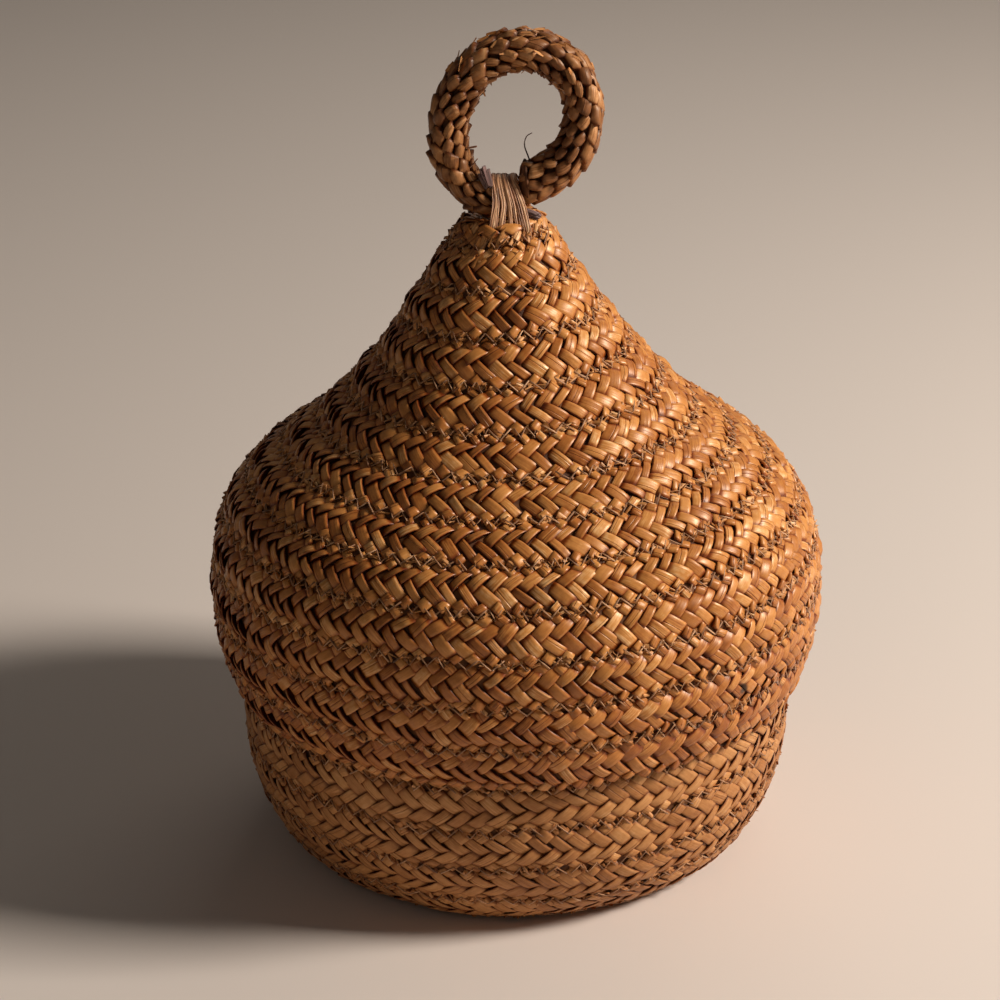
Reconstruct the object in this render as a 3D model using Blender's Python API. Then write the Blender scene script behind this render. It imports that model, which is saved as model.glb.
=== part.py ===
"""Round lidded box of plaited straw, with a plaited ring handle lashed to the lid.

The base is a spiral of flat plait sewn edge to edge, from a flat floor up a bulging wall into a
plain neck. The lid is a second spiral that slides over the neck and rests on its rim. Both are
turned solids here, with the rows of the plait as helical ridges and the seam thread in the valleys.
Metres, +Z up, the front of the box at -Y, the floor at z = 0.
"""

import math

import bmesh
import bpy
import numpy as np

# Plait and sewing
ROW_PITCH = 0.0120
PLAIT_THICKNESS = 0.0022
VALLEY_DEPTH = 0.0009
VALLEY_SHARE = 0.25  # of a row, on each side of a seam
SEAM_THREAD_THICKNESS = 0.0005
SEAM_END_MARGIN = 0.0020  # the thread stops this far from an edge of the plait
SEAT_GAP = 0.0003  # between pieces that touch

# Lid, as outer radii and heights when it rests on the base
LID_RIM_RADIUS = 0.0759
LID_RIM_HEIGHT = 0.0465
LID_RIM_HEADING = -107.0  # degrees, the way the outline runs down the outside
LID_WIDEST_RADIUS = 0.0804
LID_WIDEST_HEIGHT = 0.0700
LID_SHOULDER_RADIUS = 0.0660
LID_SHOULDER_HEIGHT = 0.1050
LID_SHOULDER_HEADING = -37.0
LID_CONE_RADIUS = 0.0412
LID_CONE_HEIGHT = 0.1259
LID_CONE_HEADING = -47.0
CROWN_RADIUS = 0.0133
CROWN_EDGE_HEIGHT = 0.1649
CROWN_EDGE_HEADING = -56.0
CROWN_CREST_RADIUS = 0.0085
CROWN_CREST_RISE = 0.0044  # above the crown's edge
CROWN_DIMPLE_DEPTH = 0.0012  # below the crest, where the handle sits
LID_LEAN = 0.0030  # the cone drifts this far toward -X

# Base
FLOOR_RADIUS = 0.0550
HEEL_RADIUS = 0.0672
HEEL_HEIGHT = 0.0100
HEEL_HEADING = 62.0
BELLY_HEIGHT = 0.0380
NECK_CLEARANCE = 0.0006  # between the base and the inside of the lid's rim
NECK_DRAW_IN = 0.0021  # from the belly to the top of the neck
NECK_HEADING = 93.0
FIRST_BASE_SEAM = 0.0046  # along the outline from the floor, at the front

# Ring handle, an open braid
RING_RADIUS = 0.01705
RING_OVAL = 0.00115
RING_OVAL_ANGLE = 28.0
RING_TUBE_RADIUS = 0.0051
RING_SIDE_OFFSET = 0.00325  # of its centre from the crown's centre
RING_LEFT_DROP = 0.00256  # the left limb's end hangs lower, under the lashing
RING_LEFT_DROP_ANGLE = 22.0
RING_LEFT_SPREAD = 45.0
RING_RIGHT_LIFT = 0.00125  # the right limb's end stops higher, beside the lashing
RING_RIGHT_LIFT_ANGLE = 349.0
RING_RIGHT_SPREAD = 33.0
RING_START_ANGLE = -2.5  # clockwise from straight down, seen from the front
RING_STOP_ANGLE = 353.0
RING_SQUEEZED_RADIUS = 0.0047  # of the braid where the lashing presses it
RING_SQUEEZED_TO = 28.0  # degrees from straight down, round again by twice this

# Lashing
LASHING_LOOPS = 6
LASHING_THICKNESS = 0.00085
LASHING_PITCH = 0.0013
LASHING_FOOT_PITCH = 0.0016
LASHING_CLEARANCE = 0.00060  # around the ring's limb
LASHING_LIFT = 0.00045  # of the loops above the ring's axis, since the limb rises at both sides
LASHING_SIDE_OFFSET = 0.0003  # of its middle loop from the crown's centre
LASHING_FOOT_OFFSET = 0.0008
LASHING_FOOT_REACH = 0.0096  # from the ring's plane to where a strand enters the crown
SLOT_SIDE_CLEARANCE = 0.0004

# How finely the round pieces are cut
SEGMENTS = 36
ROW_POINTS = (0.0, VALLEY_SHARE, 1.0 - VALLEY_SHARE)
THREAD_SIDES = 3
INNER_STEP = 0.0080
CROWN_STEPS = 6
SNAP = 0.0006  # a ridge point nearer to an edge than this joins it
LASHING_ARC_STEPS = (1, 11, 1, 3, 3)  # at its five rounded corners, 24 points a loop
RING_STEPS = 44
LEAST_SELF_GAP = 0.0004


class Meridian:
    """Half outline of a turned shape, walked by distance from its first knot."""

    HANDLE = 0.38
    STEPS = 48

    def __init__(self, knots, side):
        """knots: (radius, height, heading in degrees); side: +1 where it runs down the outside."""
        points = [np.array(knots[0][:2])]
        for (r0, z0, a0), (r1, z1, a1) in zip(knots[:-1], knots[1:]):
            reach = math.hypot(r1 - r0, z1 - z0) * self.HANDLE
            start = np.array([r0, z0])
            end = np.array([r1, z1])
            out = start + reach * np.array([math.cos(math.radians(a0)), math.sin(math.radians(a0))])
            back = end - reach * np.array([math.cos(math.radians(a1)), math.sin(math.radians(a1))])
            for i in range(1, self.STEPS + 1):
                t = i / self.STEPS
                u = 1 - t
                points.append(u**3 * start + 3 * u * u * t * out + 3 * u * t * t * back + t**3 * end)
        self.points = np.array(points)
        steps = np.hypot(*np.diff(self.points, axis=0).T)
        self.walked = np.concatenate([[0.0], np.cumsum(steps)])
        self.length = float(self.walked[-1])
        tangents = np.gradient(self.points, self.walked, axis=0)
        tangents /= np.hypot(*tangents.T)[:, None]
        self.normals = side * np.stack([-tangents[:, 1], tangents[:, 0]], axis=1)

    def at(self, distance, offset=0.0):
        """(radius, height) at this distance, moved outward by offset."""
        r, z = (np.interp(distance, self.walked, self.points[:, i]) for i in (0, 1))
        nr, nz = (np.interp(distance, self.walked, self.normals[:, i]) for i in (0, 1))
        length = math.hypot(nr, nz)
        return r + offset * nr / length, z + offset * nz / length

    def heading_normal(self, distance):
        """The outward direction (radial, up) at this distance."""
        nr, nz = (np.interp(distance, self.walked, self.normals[:, i]) for i in (0, 1))
        length = math.hypot(nr, nz)
        return nr / length, nz / length

    def inner_levels(self):
        """Distances of the plain inner surface's rings."""
        count = max(2, round(self.length / INNER_STEP))
        return [self.length * i / count for i in range(count + 1)]


def clear_scene():
    for obj in list(bpy.data.objects):
        bpy.data.objects.remove(obj, do_unlink=True)


def make_material(name, colour, roughness, metallic=0.0):
    material = bpy.data.materials.new(name)
    material.use_nodes = True
    shader = material.node_tree.nodes["Principled BSDF"]
    shader.inputs["Base Color"].default_value = (*colour, 1.0)
    shader.inputs["Roughness"].default_value = roughness
    shader.inputs["Metallic"].default_value = metallic
    return material


def add_mesh(name, points, faces, material, origin=(0.0, 0.0, 0.0)):
    """A mesh object with its faces turned outward and its round sides shaded smooth."""
    mesh = bpy.data.meshes.new(name)
    local = [tuple(p[i] - origin[i] for i in range(3)) for p in points]
    mesh.from_pydata(local, [], faces)
    edit = bmesh.new()
    edit.from_mesh(mesh)
    bmesh.ops.recalc_face_normals(edit, faces=edit.faces)
    edit.to_mesh(mesh)
    edit.free()
    mesh.materials.append(material)
    mesh.shade_smooth()
    mesh.set_sharp_from_angle(angle=math.radians(40))
    obj = bpy.data.objects.new(name, mesh)
    obj.location = origin
    bpy.context.scene.collection.objects.link(obj)
    return obj


def add_tube(name, points, radius, sides, material, origin=(0.0, 0.0, 0.0)):
    """A capped tube through points, as a bevelled POLY curve. sides is 4 plus an even number."""
    curve = bpy.data.curves.new(name, "CURVE")
    curve.dimensions = "3D"
    curve.bevel_depth = radius
    curve.bevel_resolution = (sides - 4) // 2
    curve.use_fill_caps = True
    spline = curve.splines.new("POLY")
    spline.points.add(len(points) - 1)
    for point, place in zip(spline.points, points):
        point.co = (*(place[i] - origin[i] for i in range(3)), 1.0)
    curve.materials.append(material)
    obj = bpy.data.objects.new(name, curve)
    obj.location = origin
    bpy.context.scene.collection.objects.link(obj)
    return obj


def add_cutter(name, centre, size):
    bpy.ops.mesh.primitive_cube_add(size=1.0, location=centre)
    cutter = bpy.context.object
    cutter.name = name
    cutter.scale = size
    bpy.ops.object.transform_apply(location=False, rotation=False, scale=True)
    cutter.hide_render = True
    cutter.display_type = "WIRE"
    return cutter


def cut(obj, cutter):
    modifier = obj.modifiers.new(cutter.name, "BOOLEAN")
    modifier.operation = "DIFFERENCE"
    modifier.object = cutter


def lean_at(height):
    """How far the lid's centre has drifted along X at this height."""
    share = (height - LID_SHOULDER_HEIGHT) / (CROWN_EDGE_HEIGHT - LID_SHOULDER_HEIGHT)
    share = min(1.0, max(0.0, share))
    return -LID_LEAN * share * share * (3 - 2 * share)


def around(radius, height, azimuth, leaning):
    """A point at an azimuth counted counterclockwise from the front, seen from above."""
    x = radius * math.sin(azimuth)
    y = -radius * math.cos(azimuth)
    return (x + (lean_at(height) if leaning else 0.0), y, height)


def plait_shell(name, meridian, first_seam, turn, leaning, material):
    """A turned wall whose outside carries the rows of the plait as one helical ridge.

    first_seam is the distance of a seam at the front. turn is -1 where the rows come nearer to
    the meridian's start as the azimuth grows, and +1 where they go away from it.
    """
    points, index = [], {}

    def vertex(key, place):
        if key not in index:
            index[key] = len(points)
            points.append(place)
        return index[key]

    def ridge_vertex(n, j):
        if j == SEGMENTS:
            n, j = n + turn * len(ROW_POINTS), 0
        azimuth = 2 * math.pi * j / SEGMENTS
        row, part = divmod(n, len(ROW_POINTS))
        along = first_seam + ROW_PITCH * (row + ROW_POINTS[part] + turn * j / SEGMENTS)
        if along <= SNAP:
            return vertex(("start", j), around(*meridian.at(0.0), azimuth, leaning))
        if along >= meridian.length - SNAP:
            return vertex(("end", j), around(*meridian.at(meridian.length), azimuth, leaning))
        offset = -VALLEY_DEPTH if part == 0 else 0.0
        return vertex((n, j), around(*meridian.at(along, offset), azimuth, leaning))

    faces = []

    def add_face(corners):
        kept = [c for i, c in enumerate(corners) if c != corners[i - 1]]
        if len(set(kept)) >= 3:
            faces.append(kept)

    lowest = (math.floor(-first_seam / ROW_PITCH) - 2) * len(ROW_POINTS)
    highest = (math.ceil((meridian.length - first_seam) / ROW_PITCH) + 2) * len(ROW_POINTS)
    for n in range(lowest, highest):
        for j in range(SEGMENTS):
            corners = [ridge_vertex(n, j), ridge_vertex(n + 1, j)]
            add_face(corners + [ridge_vertex(n + 1, j + 1), ridge_vertex(n, j + 1)])

    levels = meridian.inner_levels()

    def inner_vertex(k, j):
        azimuth = 2 * math.pi * (j % SEGMENTS) / SEGMENTS
        place = around(*meridian.at(levels[k], -PLAIT_THICKNESS), azimuth, leaning)
        return vertex(("inner", k, j % SEGMENTS), place)

    for j in range(SEGMENTS):
        for k in range(len(levels) - 1):
            corners = [inner_vertex(k, j), inner_vertex(k + 1, j)]
            add_face(corners + [inner_vertex(k + 1, j + 1), inner_vertex(k, j + 1)])
        for end, k in (("start", 0), ("end", len(levels) - 1)):
            corners = [index[(end, j)], index[(end, (j + 1) % SEGMENTS)]]
            add_face(corners + [inner_vertex(k, j + 1), inner_vertex(k, j)])
    return add_mesh(name, points, faces, material)


def seam_thread(name, meridian, first_seam, turn, leaning, material):
    """The sewing thread as one plain tube of three sides along the helical valley."""
    half = SEAM_THREAD_THICKNESS / 2
    lift = SEAT_GAP + half - VALLEY_DEPTH
    per_step = ROW_PITCH / SEGMENTS
    first = math.ceil((SEAM_END_MARGIN - first_seam) / per_step)
    last = math.floor((meridian.length - SEAM_END_MARGIN - first_seam) / per_step)
    points, faces, middles = [], [], []
    for i in range(first, last + 1):
        along = first_seam + per_step * i
        azimuth = turn * 2 * math.pi * i / SEGMENTS
        nr, nz = meridian.heading_normal(along)
        r, z = meridian.at(along, lift)
        middles.append(around(r, z, azimuth, leaning))
        for side in range(THREAD_SIDES):
            turned = math.pi * (1 + 2 * side / THREAD_SIDES)
            dr = nr * math.cos(turned) + nz * math.sin(turned)
            dz = nz * math.cos(turned) - nr * math.sin(turned)
            points.append(around(r + half * dr, z + half * dz, azimuth, leaning))
    for i in range(len(middles) - 1):
        for k in range(THREAD_SIDES):
            a, b = THREAD_SIDES * i + k, THREAD_SIDES * i + (k + 1) % THREAD_SIDES
            faces.append([a, b, b + THREAD_SIDES, a + THREAD_SIDES])
    faces.append(list(range(THREAD_SIDES)))
    faces.append([len(points) - THREAD_SIDES + k for k in range(THREAD_SIDES)])
    report_self_gap(name, middles, SEAM_THREAD_THICKNESS, SEGMENTS)
    return add_mesh(name, points, faces, material)


def turned_solid(name, outline, leaning, material):
    """A closed solid turned from (radius, height) points that may start or end on the axis."""
    points, faces, rings = [], [], []
    for radius, height in outline:
        if radius < 1e-7:
            points.append((lean_at(height) if leaning else 0.0, 0.0, height))
            rings.append([len(points) - 1] * SEGMENTS)
            continue
        rings.append([len(points) + j for j in range(SEGMENTS)])
        for j in range(SEGMENTS):
            points.append(around(radius, height, 2 * math.pi * j / SEGMENTS, leaning))
    for lower, upper in zip(rings, rings[1:] + rings[:1]):
        if lower[0] == lower[1] and upper[0] == upper[1]:
            continue
        for j in range(SEGMENTS):
            k = (j + 1) % SEGMENTS
            corners = [lower[j], lower[k], upper[k], upper[j]]
            faces.append([c for i, c in enumerate(corners) if c != corners[i - 1]])
    return add_mesh(name, points, faces, material)


def report_self_gap(name, middles, thickness, per_turn):
    """Prints the least gap between one turn of a tube and the others, measured on its points."""
    places = np.array(middles)
    dense = np.concatenate([places[:-1] + t * np.diff(places, axis=0) for t in (0.0, 0.25, 0.5, 0.75)])
    order = np.concatenate([np.arange(len(places) - 1) + t for t in (0.0, 0.25, 0.5, 0.75)])
    least = math.inf
    for place, step in zip(places, range(len(places))):
        far = np.abs(order - step) > per_turn / 2
        if far.any():
            least = min(least, float(np.sqrt(((dense[far] - place) ** 2).sum(axis=1)).min()))
    print(f"{name}: least gap to itself {1000 * (least - thickness):.2f} mm")
    assert least - thickness > LEAST_SELF_GAP, f"{name} runs into itself"


def lid_meridian():
    knots = [
        (CROWN_RADIUS, CROWN_EDGE_HEIGHT, CROWN_EDGE_HEADING),
        (LID_CONE_RADIUS, LID_CONE_HEIGHT, LID_CONE_HEADING),
        (LID_SHOULDER_RADIUS, LID_SHOULDER_HEIGHT, LID_SHOULDER_HEADING),
        (LID_WIDEST_RADIUS, LID_WIDEST_HEIGHT, -90.0),
        (LID_RIM_RADIUS, LID_RIM_HEIGHT, LID_RIM_HEADING),
    ]
    return Meridian(knots, side=1)


def crown_meridian():
    crest = CROWN_EDGE_HEIGHT + CROWN_CREST_RISE
    knots = [
        (0.0, crest - CROWN_DIMPLE_DEPTH, 0.0),
        (CROWN_CREST_RADIUS, crest, 0.0),
        (CROWN_RADIUS, CROWN_EDGE_HEIGHT, CROWN_EDGE_HEADING),
    ]
    return Meridian(knots, side=1)


def seat_height(lid, radius):
    """The height where a rim of this outer radius meets the inside of the lid's shoulder."""
    inside = [lid.at(level, -PLAIT_THICKNESS) for level in lid.inner_levels()]
    for (r0, z0), (r1, z1) in zip(inside[:-1], inside[1:]):
        if r0 <= radius < r1:
            share = (radius - r0) / (r1 - r0)
            slope = math.atan2(z0 - z1, r1 - r0)
            return z0 + share * (z1 - z0) - SEAT_GAP / math.cos(slope)
    raise ValueError("the neck is wider than the lid")


def base_meridian(lid):
    rim_inside = lid.at(lid.length, -PLAIT_THICKNESS)[0]
    belly = rim_inside - NECK_CLEARANCE
    neck = belly - NECK_DRAW_IN
    knots = [
        (FLOOR_RADIUS, 0.0, 0.0),
        (HEEL_RADIUS, HEEL_HEIGHT, HEEL_HEADING),
        (belly, BELLY_HEIGHT, 90.0),
        (neck, seat_height(lid, neck), NECK_HEADING),
    ]
    return Meridian(knots, side=-1)


def build_base(lid, straw, thread):
    wall = base_meridian(lid)
    plait_shell("base_wall", wall, FIRST_BASE_SEAM, 1, False, straw)
    seam_thread("base_seam_thread", wall, FIRST_BASE_SEAM, 1, False, thread)
    edge = FLOOR_RADIUS - SEAT_GAP
    outline = [(0.0, 0.0), (edge, 0.0), (edge, PLAIT_THICKNESS), (0.0, PLAIT_THICKNESS)]
    turned_solid("base_floor", outline, False, straw)


def crown_height_at(radius, offset=0.0):
    """The height of the crown's outside, or of its inside, at a radius near its edge."""
    crown = crown_meridian()
    steps = 60
    walk = [crown.at(crown.length * (0.5 + 0.5 * i / steps), offset) for i in range(steps + 1)]
    return float(np.interp(radius, [r for r, _ in walk], [z for _, z in walk]))


def build_lid(lid, straw, thread):
    plait_shell("lid_shell", lid, 0.0, -1, True, straw)
    seam_thread("lid_seam_thread", lid, 0.0, -1, True, thread)
    crown = crown_meridian()
    walk = [(crown.length - SEAT_GAP) * i / CROWN_STEPS for i in range(CROWN_STEPS + 1)]
    outer = [crown.at(distance) for distance in walk]
    inner = [crown.at(distance, -PLAIT_THICKNESS) for distance in walk]
    outer[0] = (0.0, outer[0][1])
    inner[0] = (0.0, inner[0][1])
    button = turned_solid("lid_crown", outer + inner[::-1], True, straw)
    cut_lashing_slots(button)


def foot_middle():
    """X of the middle of the lashing where it enters the crown."""
    return -LID_LEAN + LASHING_FOOT_OFFSET


def foot_reach_along_x():
    """How far the lashing's farthest foot is from the crown's centre, along X."""
    return abs(LASHING_FOOT_OFFSET) + LASHING_FOOT_PITCH * LASHING_LOOPS / 2


def cut_lashing_slots(button):
    length = LASHING_FOOT_PITCH * LASHING_LOOPS + LASHING_THICKNESS + 2 * SLOT_SIDE_CLEARANCE
    width = LASHING_THICKNESS + 2 * SEAT_GAP
    height = 6 * PLAIT_THICKNESS
    middle = (CROWN_EDGE_HEIGHT + crown_height_at(LASHING_FOOT_REACH)) / 2
    for side, label in ((-1, "front"), (1, "back")):
        place = (foot_middle(), side * LASHING_FOOT_REACH, middle)
        cut(button, add_cutter(f"{label}_slot_cutter", place, (length, width, height)))


def ring_axis_height():
    """The ring's lowest limb rests in the crown's dimple, and tilts about its own middle."""
    dimple = CROWN_EDGE_HEIGHT + CROWN_CREST_RISE - CROWN_DIMPLE_DEPTH
    return dimple + 2 * SEAT_GAP + RING_SQUEEZED_RADIUS


def ring_tube_radius(angle):
    """The braid's radius, by angle clockwise from below."""
    share = min(1.0, max(0.0, angle / RING_SQUEEZED_TO - 1.0))
    blend = share * share * (3 - 2 * share)
    return RING_SQUEEZED_RADIUS + (RING_TUBE_RADIUS - RING_SQUEEZED_RADIUS) * blend


def ring_reach(angle):
    """Distance of the braid's middle from the ring's centre, by angle clockwise from below."""

    def near(target, spread):
        return math.exp(-(((angle - target) / spread) ** 2))

    oval = RING_OVAL * math.cos(math.radians(2 * (angle - RING_OVAL_ANGLE)))
    left = RING_LEFT_DROP * near(RING_LEFT_DROP_ANGLE, RING_LEFT_SPREAD)
    right = RING_RIGHT_LIFT * near(RING_RIGHT_LIFT_ANGLE, RING_RIGHT_SPREAD)
    return RING_RADIUS + oval + left - right


def ring_angles():
    span = RING_STOP_ANGLE - RING_START_ANGLE
    return [RING_START_ANGLE + span * i / RING_STEPS for i in range(RING_STEPS + 1)]


def ring_path():
    lowest = max(ring_reach(a) * math.cos(math.radians(a)) for a in range(0, 60))
    centre_x = -LID_LEAN + RING_SIDE_OFFSET
    centre_z = ring_axis_height() + lowest
    path = []
    for angle in ring_angles():
        reach = ring_reach(angle)
        turn = math.radians(angle)
        path.append((centre_x - reach * math.sin(turn), 0.0, centre_z - reach * math.cos(turn)))
    return path


def build_handle(braid, raffia, lid_carrier):
    hinge = (-LID_LEAN, 0.0, ring_axis_height())
    pivot = bpy.data.objects.new("handle_pivot", None)
    pivot.location = hinge
    bpy.context.scene.collection.objects.link(pivot)
    ring = add_tube("handle_ring", ring_path(), RING_TUBE_RADIUS, 10, braid, hinge)
    for point, angle in zip(ring.data.splines[0].points, ring_angles()):
        point.radius = ring_tube_radius(angle) / RING_TUBE_RADIUS
    ring.parent = pivot
    ring.location = (0.0, 0.0, 0.0)
    pivot.parent = lid_carrier
    add_tube("handle_lashing", lashing_path(), LASHING_THICKNESS / 2, 6, raffia)


def rounded_corners(corners, radii, steps):
    """A closed (y, z) line past corners, each rounded by an arc of so many steps."""
    line = []
    count = len(corners)
    for i in range(count):
        corner = np.array(corners[i])
        before = np.array(corners[i - 1]) - corner
        after = np.array(corners[(i + 1) % count]) - corner
        before /= np.hypot(*before)
        after /= np.hypot(*after)
        half = math.acos(float(np.clip(before @ after, -1, 1))) / 2
        middle = (before + after) / np.hypot(*(before + after))
        centre = corner + middle * radii[i] / math.sin(half)
        first = corner + before * radii[i] / math.tan(half) - centre
        last = corner + after * radii[i] / math.tan(half) - centre
        sweep = math.pi - 2 * half
        for k in range(steps[i] + 1):
            t = k / steps[i]
            weights = (math.sin((1 - t) * sweep), math.sin(t * sweep))
            line.append(centre + (weights[0] * first + weights[1] * last) / math.sin(sweep))
    return np.array(line)


def lashing_path():
    """Side by side loops over the ring's limb and through the crown, as one strand."""
    strand = LASHING_THICKNESS / 2
    axis = ring_axis_height() + LASHING_LIFT
    over = RING_SQUEEZED_RADIUS + LASHING_CLEARANCE + strand
    entry = crown_height_at(LASHING_FOOT_REACH) + SEAT_GAP + strand
    farthest = math.hypot(foot_reach_along_x(), LASHING_FOOT_REACH)
    under = crown_height_at(farthest, -PLAIT_THICKNESS) - SEAT_GAP - 2 * strand
    rise = axis - entry
    slope = math.atan2(rise, LASHING_FOOT_REACH)
    slope += math.asin(over / math.hypot(rise, LASHING_FOOT_REACH))
    apex = entry + LASHING_FOOT_REACH * math.tan(slope)
    reach = LASHING_FOOT_REACH
    corners = [(-reach, entry), (0.0, apex), (reach, entry), (reach, under), (-reach, under)]
    bend = 3 * strand
    outline = rounded_corners(corners, [bend, over, bend, bend, bend], LASHING_ARC_STEPS)
    per_loop = len(outline)
    walked = np.concatenate([[0.0], np.cumsum(np.hypot(*np.diff(outline, axis=0).T))])
    around_loop = walked[-1] + float(np.hypot(*(outline[0] - outline[-1])))
    path = []
    for i in range(LASHING_LOOPS * per_loop):
        loop, part = divmod(i, per_loop)
        y, z = (float(value) for value in outline[part])
        step = loop + walked[part] / around_loop - LASHING_LOOPS / 2
        top_x = -LID_LEAN + LASHING_SIDE_OFFSET + LASHING_PITCH * step
        foot_x = foot_middle() + LASHING_FOOT_PITCH * step
        share = min(1.0, max(0.0, (z - entry) / (axis - entry)))
        path.append((foot_x + (top_x - foot_x) * share, y, z))
    report_self_gap("handle_lashing", path, LASHING_THICKNESS, per_loop)
    return path


def main():
    clear_scene()
    straw = make_material("golden_straw_plait", (0.42, 0.21, 0.07), 0.45)
    braid = make_material("straw_round_braid", (0.38, 0.19, 0.07), 0.48)
    thread = make_material("seam_thread", (0.23, 0.14, 0.11), 0.75)
    raffia = make_material("pale_raffia", (0.46, 0.30, 0.18), 0.6)
    lid = lid_meridian()
    build_base(lid, straw, thread)
    build_lid(lid, straw, thread)
    lid_carrier = bpy.data.objects.new("lid_lift", None)
    bpy.context.scene.collection.objects.link(lid_carrier)
    bpy.context.view_layer.update()
    build_handle(braid, raffia, lid_carrier)
    for name in ("lid_shell", "lid_seam_thread", "lid_crown", "handle_lashing"):
        bpy.data.objects[name].parent = lid_carrier


main()
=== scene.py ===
"""Looks of the round lidded box of plaited straw.

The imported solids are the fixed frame. Over them go the strands of the plait, its sewing, the braid
of the ring handle and its raffia lashing. Metres, +Z up, the front of the box at -Y.
"""

import sys
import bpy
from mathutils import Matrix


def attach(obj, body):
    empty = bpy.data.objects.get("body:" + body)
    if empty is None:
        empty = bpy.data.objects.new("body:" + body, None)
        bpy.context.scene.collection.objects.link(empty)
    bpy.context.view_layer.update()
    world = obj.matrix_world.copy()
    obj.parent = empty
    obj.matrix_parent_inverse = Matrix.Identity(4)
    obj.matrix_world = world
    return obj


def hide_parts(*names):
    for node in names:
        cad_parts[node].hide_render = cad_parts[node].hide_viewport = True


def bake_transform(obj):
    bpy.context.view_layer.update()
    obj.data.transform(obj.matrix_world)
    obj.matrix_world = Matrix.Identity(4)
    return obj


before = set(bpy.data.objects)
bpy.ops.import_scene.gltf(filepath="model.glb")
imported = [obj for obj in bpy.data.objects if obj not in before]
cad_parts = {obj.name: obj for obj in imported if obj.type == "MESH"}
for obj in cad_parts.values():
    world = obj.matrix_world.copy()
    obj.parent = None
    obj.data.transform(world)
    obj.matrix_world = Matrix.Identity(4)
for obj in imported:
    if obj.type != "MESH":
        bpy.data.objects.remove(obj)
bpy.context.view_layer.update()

import ast
import logging
import math
from dataclasses import dataclass, field
from enum import Enum
from functools import cached_property
from textwrap import dedent
from typing import Callable, Sequence

import bpy
import numpy as np
from mathutils import Vector

Tree = bpy.types.NodeTree
Node = bpy.types.Node
Socket = bpy.types.NodeSocket
Material = bpy.types.Material
Mesh = bpy.types.Mesh
Thing = bpy.types.Object

LOG = logging.getLogger("straw_box")
MM = 0.001
TURN = 2 * math.pi

OPERATORS = {
    ast.Add: "ADD", ast.Sub: "SUBTRACT", ast.Mult: "MULTIPLY", ast.Div: "DIVIDE", ast.Pow: "POWER",
}
FUNCTIONS = {
    "sin": "SINE", "cos": "COSINE", "abs": "ABSOLUTE", "min": "MINIMUM", "max": "MAXIMUM",
    "fract": "FRACT",
}


class Layer(Enum):
    """The side of a plaited wall that a layer of strands lies on."""

    OUTER = 1
    INNER = -1


# Nodes and colours


def linear(colour: str) -> tuple[float, float, float, float]:
    """Turns an sRGB hex colour into linear light.

    Args:
        colour: six hex digits after a #.

    Returns:
        Red, green, blue and an alpha of 1.
    """
    parts = [int(colour[i : i + 2], 16) / 255 for i in (1, 3, 5)]
    return (*(p / 12.92 if p <= 0.04045 else ((p + 0.055) / 1.055) ** 2.4 for p in parts), 1.0)


def set_inputs(tree: Tree, node: Node, inputs: dict) -> None:
    """Sets a node's sockets.

    Args:
        tree: the node tree that it is in.
        node: the node.
        inputs: by a socket's index or name, a value or another node's output.
    """
    for key, value in inputs.items():
        if isinstance(value, Socket):
            tree.links.new(value, node.inputs[key])
        else:
            node.inputs[key].default_value = value


def add_node(tree: Tree, kind: str, settings: dict | None = None, inputs: dict | None = None) -> Node:
    """Adds a node with its settings and links.

    Args:
        tree: the node tree that gets it.
        kind: the node's type name.
        settings: properties of the node by name.
        inputs: as in set_inputs.

    Returns:
        The new node.
    """
    node = tree.nodes.new(kind)
    for name, value in (settings or {}).items():
        setattr(node, name, value)
    set_inputs(tree, node, inputs or {})
    return node


def work_out(tree: Tree, formulas: str, values: dict[str, object]) -> Socket:
    """Adds the Math nodes of formulas such as "reach = radius * sin(turn)".

    Args:
        tree: the node tree that gets them.
        formulas: one after the other, of sums, products, powers and the calls in FUNCTIONS.
        values: sockets and numbers by name, which the results are added to.

    Returns:
        The last result.
    """

    def build(part: ast.expr) -> object:
        """Adds the nodes of a part of a formula.

        Args:
            part: an operation, a call, a name or a number.

        Returns:
            Its result or its value.
        """
        if isinstance(part, ast.Constant):
            return float(part.value)
        if isinstance(part, ast.Name):
            return values[part.id]
        if isinstance(part, ast.UnaryOp):
            operation, parts = "MULTIPLY", [ast.Constant(-1.0), part.operand]
        elif isinstance(part, ast.BinOp):
            operation, parts = OPERATORS[type(part.op)], [part.left, part.right]
        else:
            operation, parts = FUNCTIONS[part.func.id], part.args
        built = dict(enumerate(build(p) for p in parts))
        return add_node(tree, "ShaderNodeMath", {"operation": operation}, built).outputs[0]

    for line in ast.parse(dedent(formulas)).body:
        name = line.targets[0].id
        values[name] = build(line.value)
    return values[name]


def parts_of(tree: Tree, vector: Socket, names: Sequence[str] = "xyz") -> dict[str, Socket]:
    """Splits a vector into its three parts, by name."""
    return dict(zip(names, add_node(tree, "ShaderNodeSeparateXYZ", None, {0: vector}).outputs))


def combined(tree: Tree, x: object, y: object, z: object) -> Socket:
    """Makes a vector of x, y and z, each a number or an output."""
    return add_node(tree, "ShaderNodeCombineXYZ", None, {0: x, 1: y, 2: z}).outputs[0]


def eased(tree: Tree, value: Socket, low: object, high: object, first: float = 0.0,
          last: float = 1.0) -> Socket:
    """Goes smoothly from first, where a value is low, to last, where it is high."""
    return add_node(tree, "ShaderNodeMapRange", {"interpolation_type": "SMOOTHSTEP"},
                    {0: value, 1: low, 2: high, 3: first, 4: last}).outputs[0]


def noise(tree: Tree, place: Socket, spacing: float, detail: float, **others: float) -> Sequence[Socket]:
    """Draws noise, as one value and as a colour of three."""
    return add_node(tree, "ShaderNodeTexNoise", None,
                    {0: place, "Scale": 1 / spacing, "Detail": detail, **others}).outputs


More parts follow.
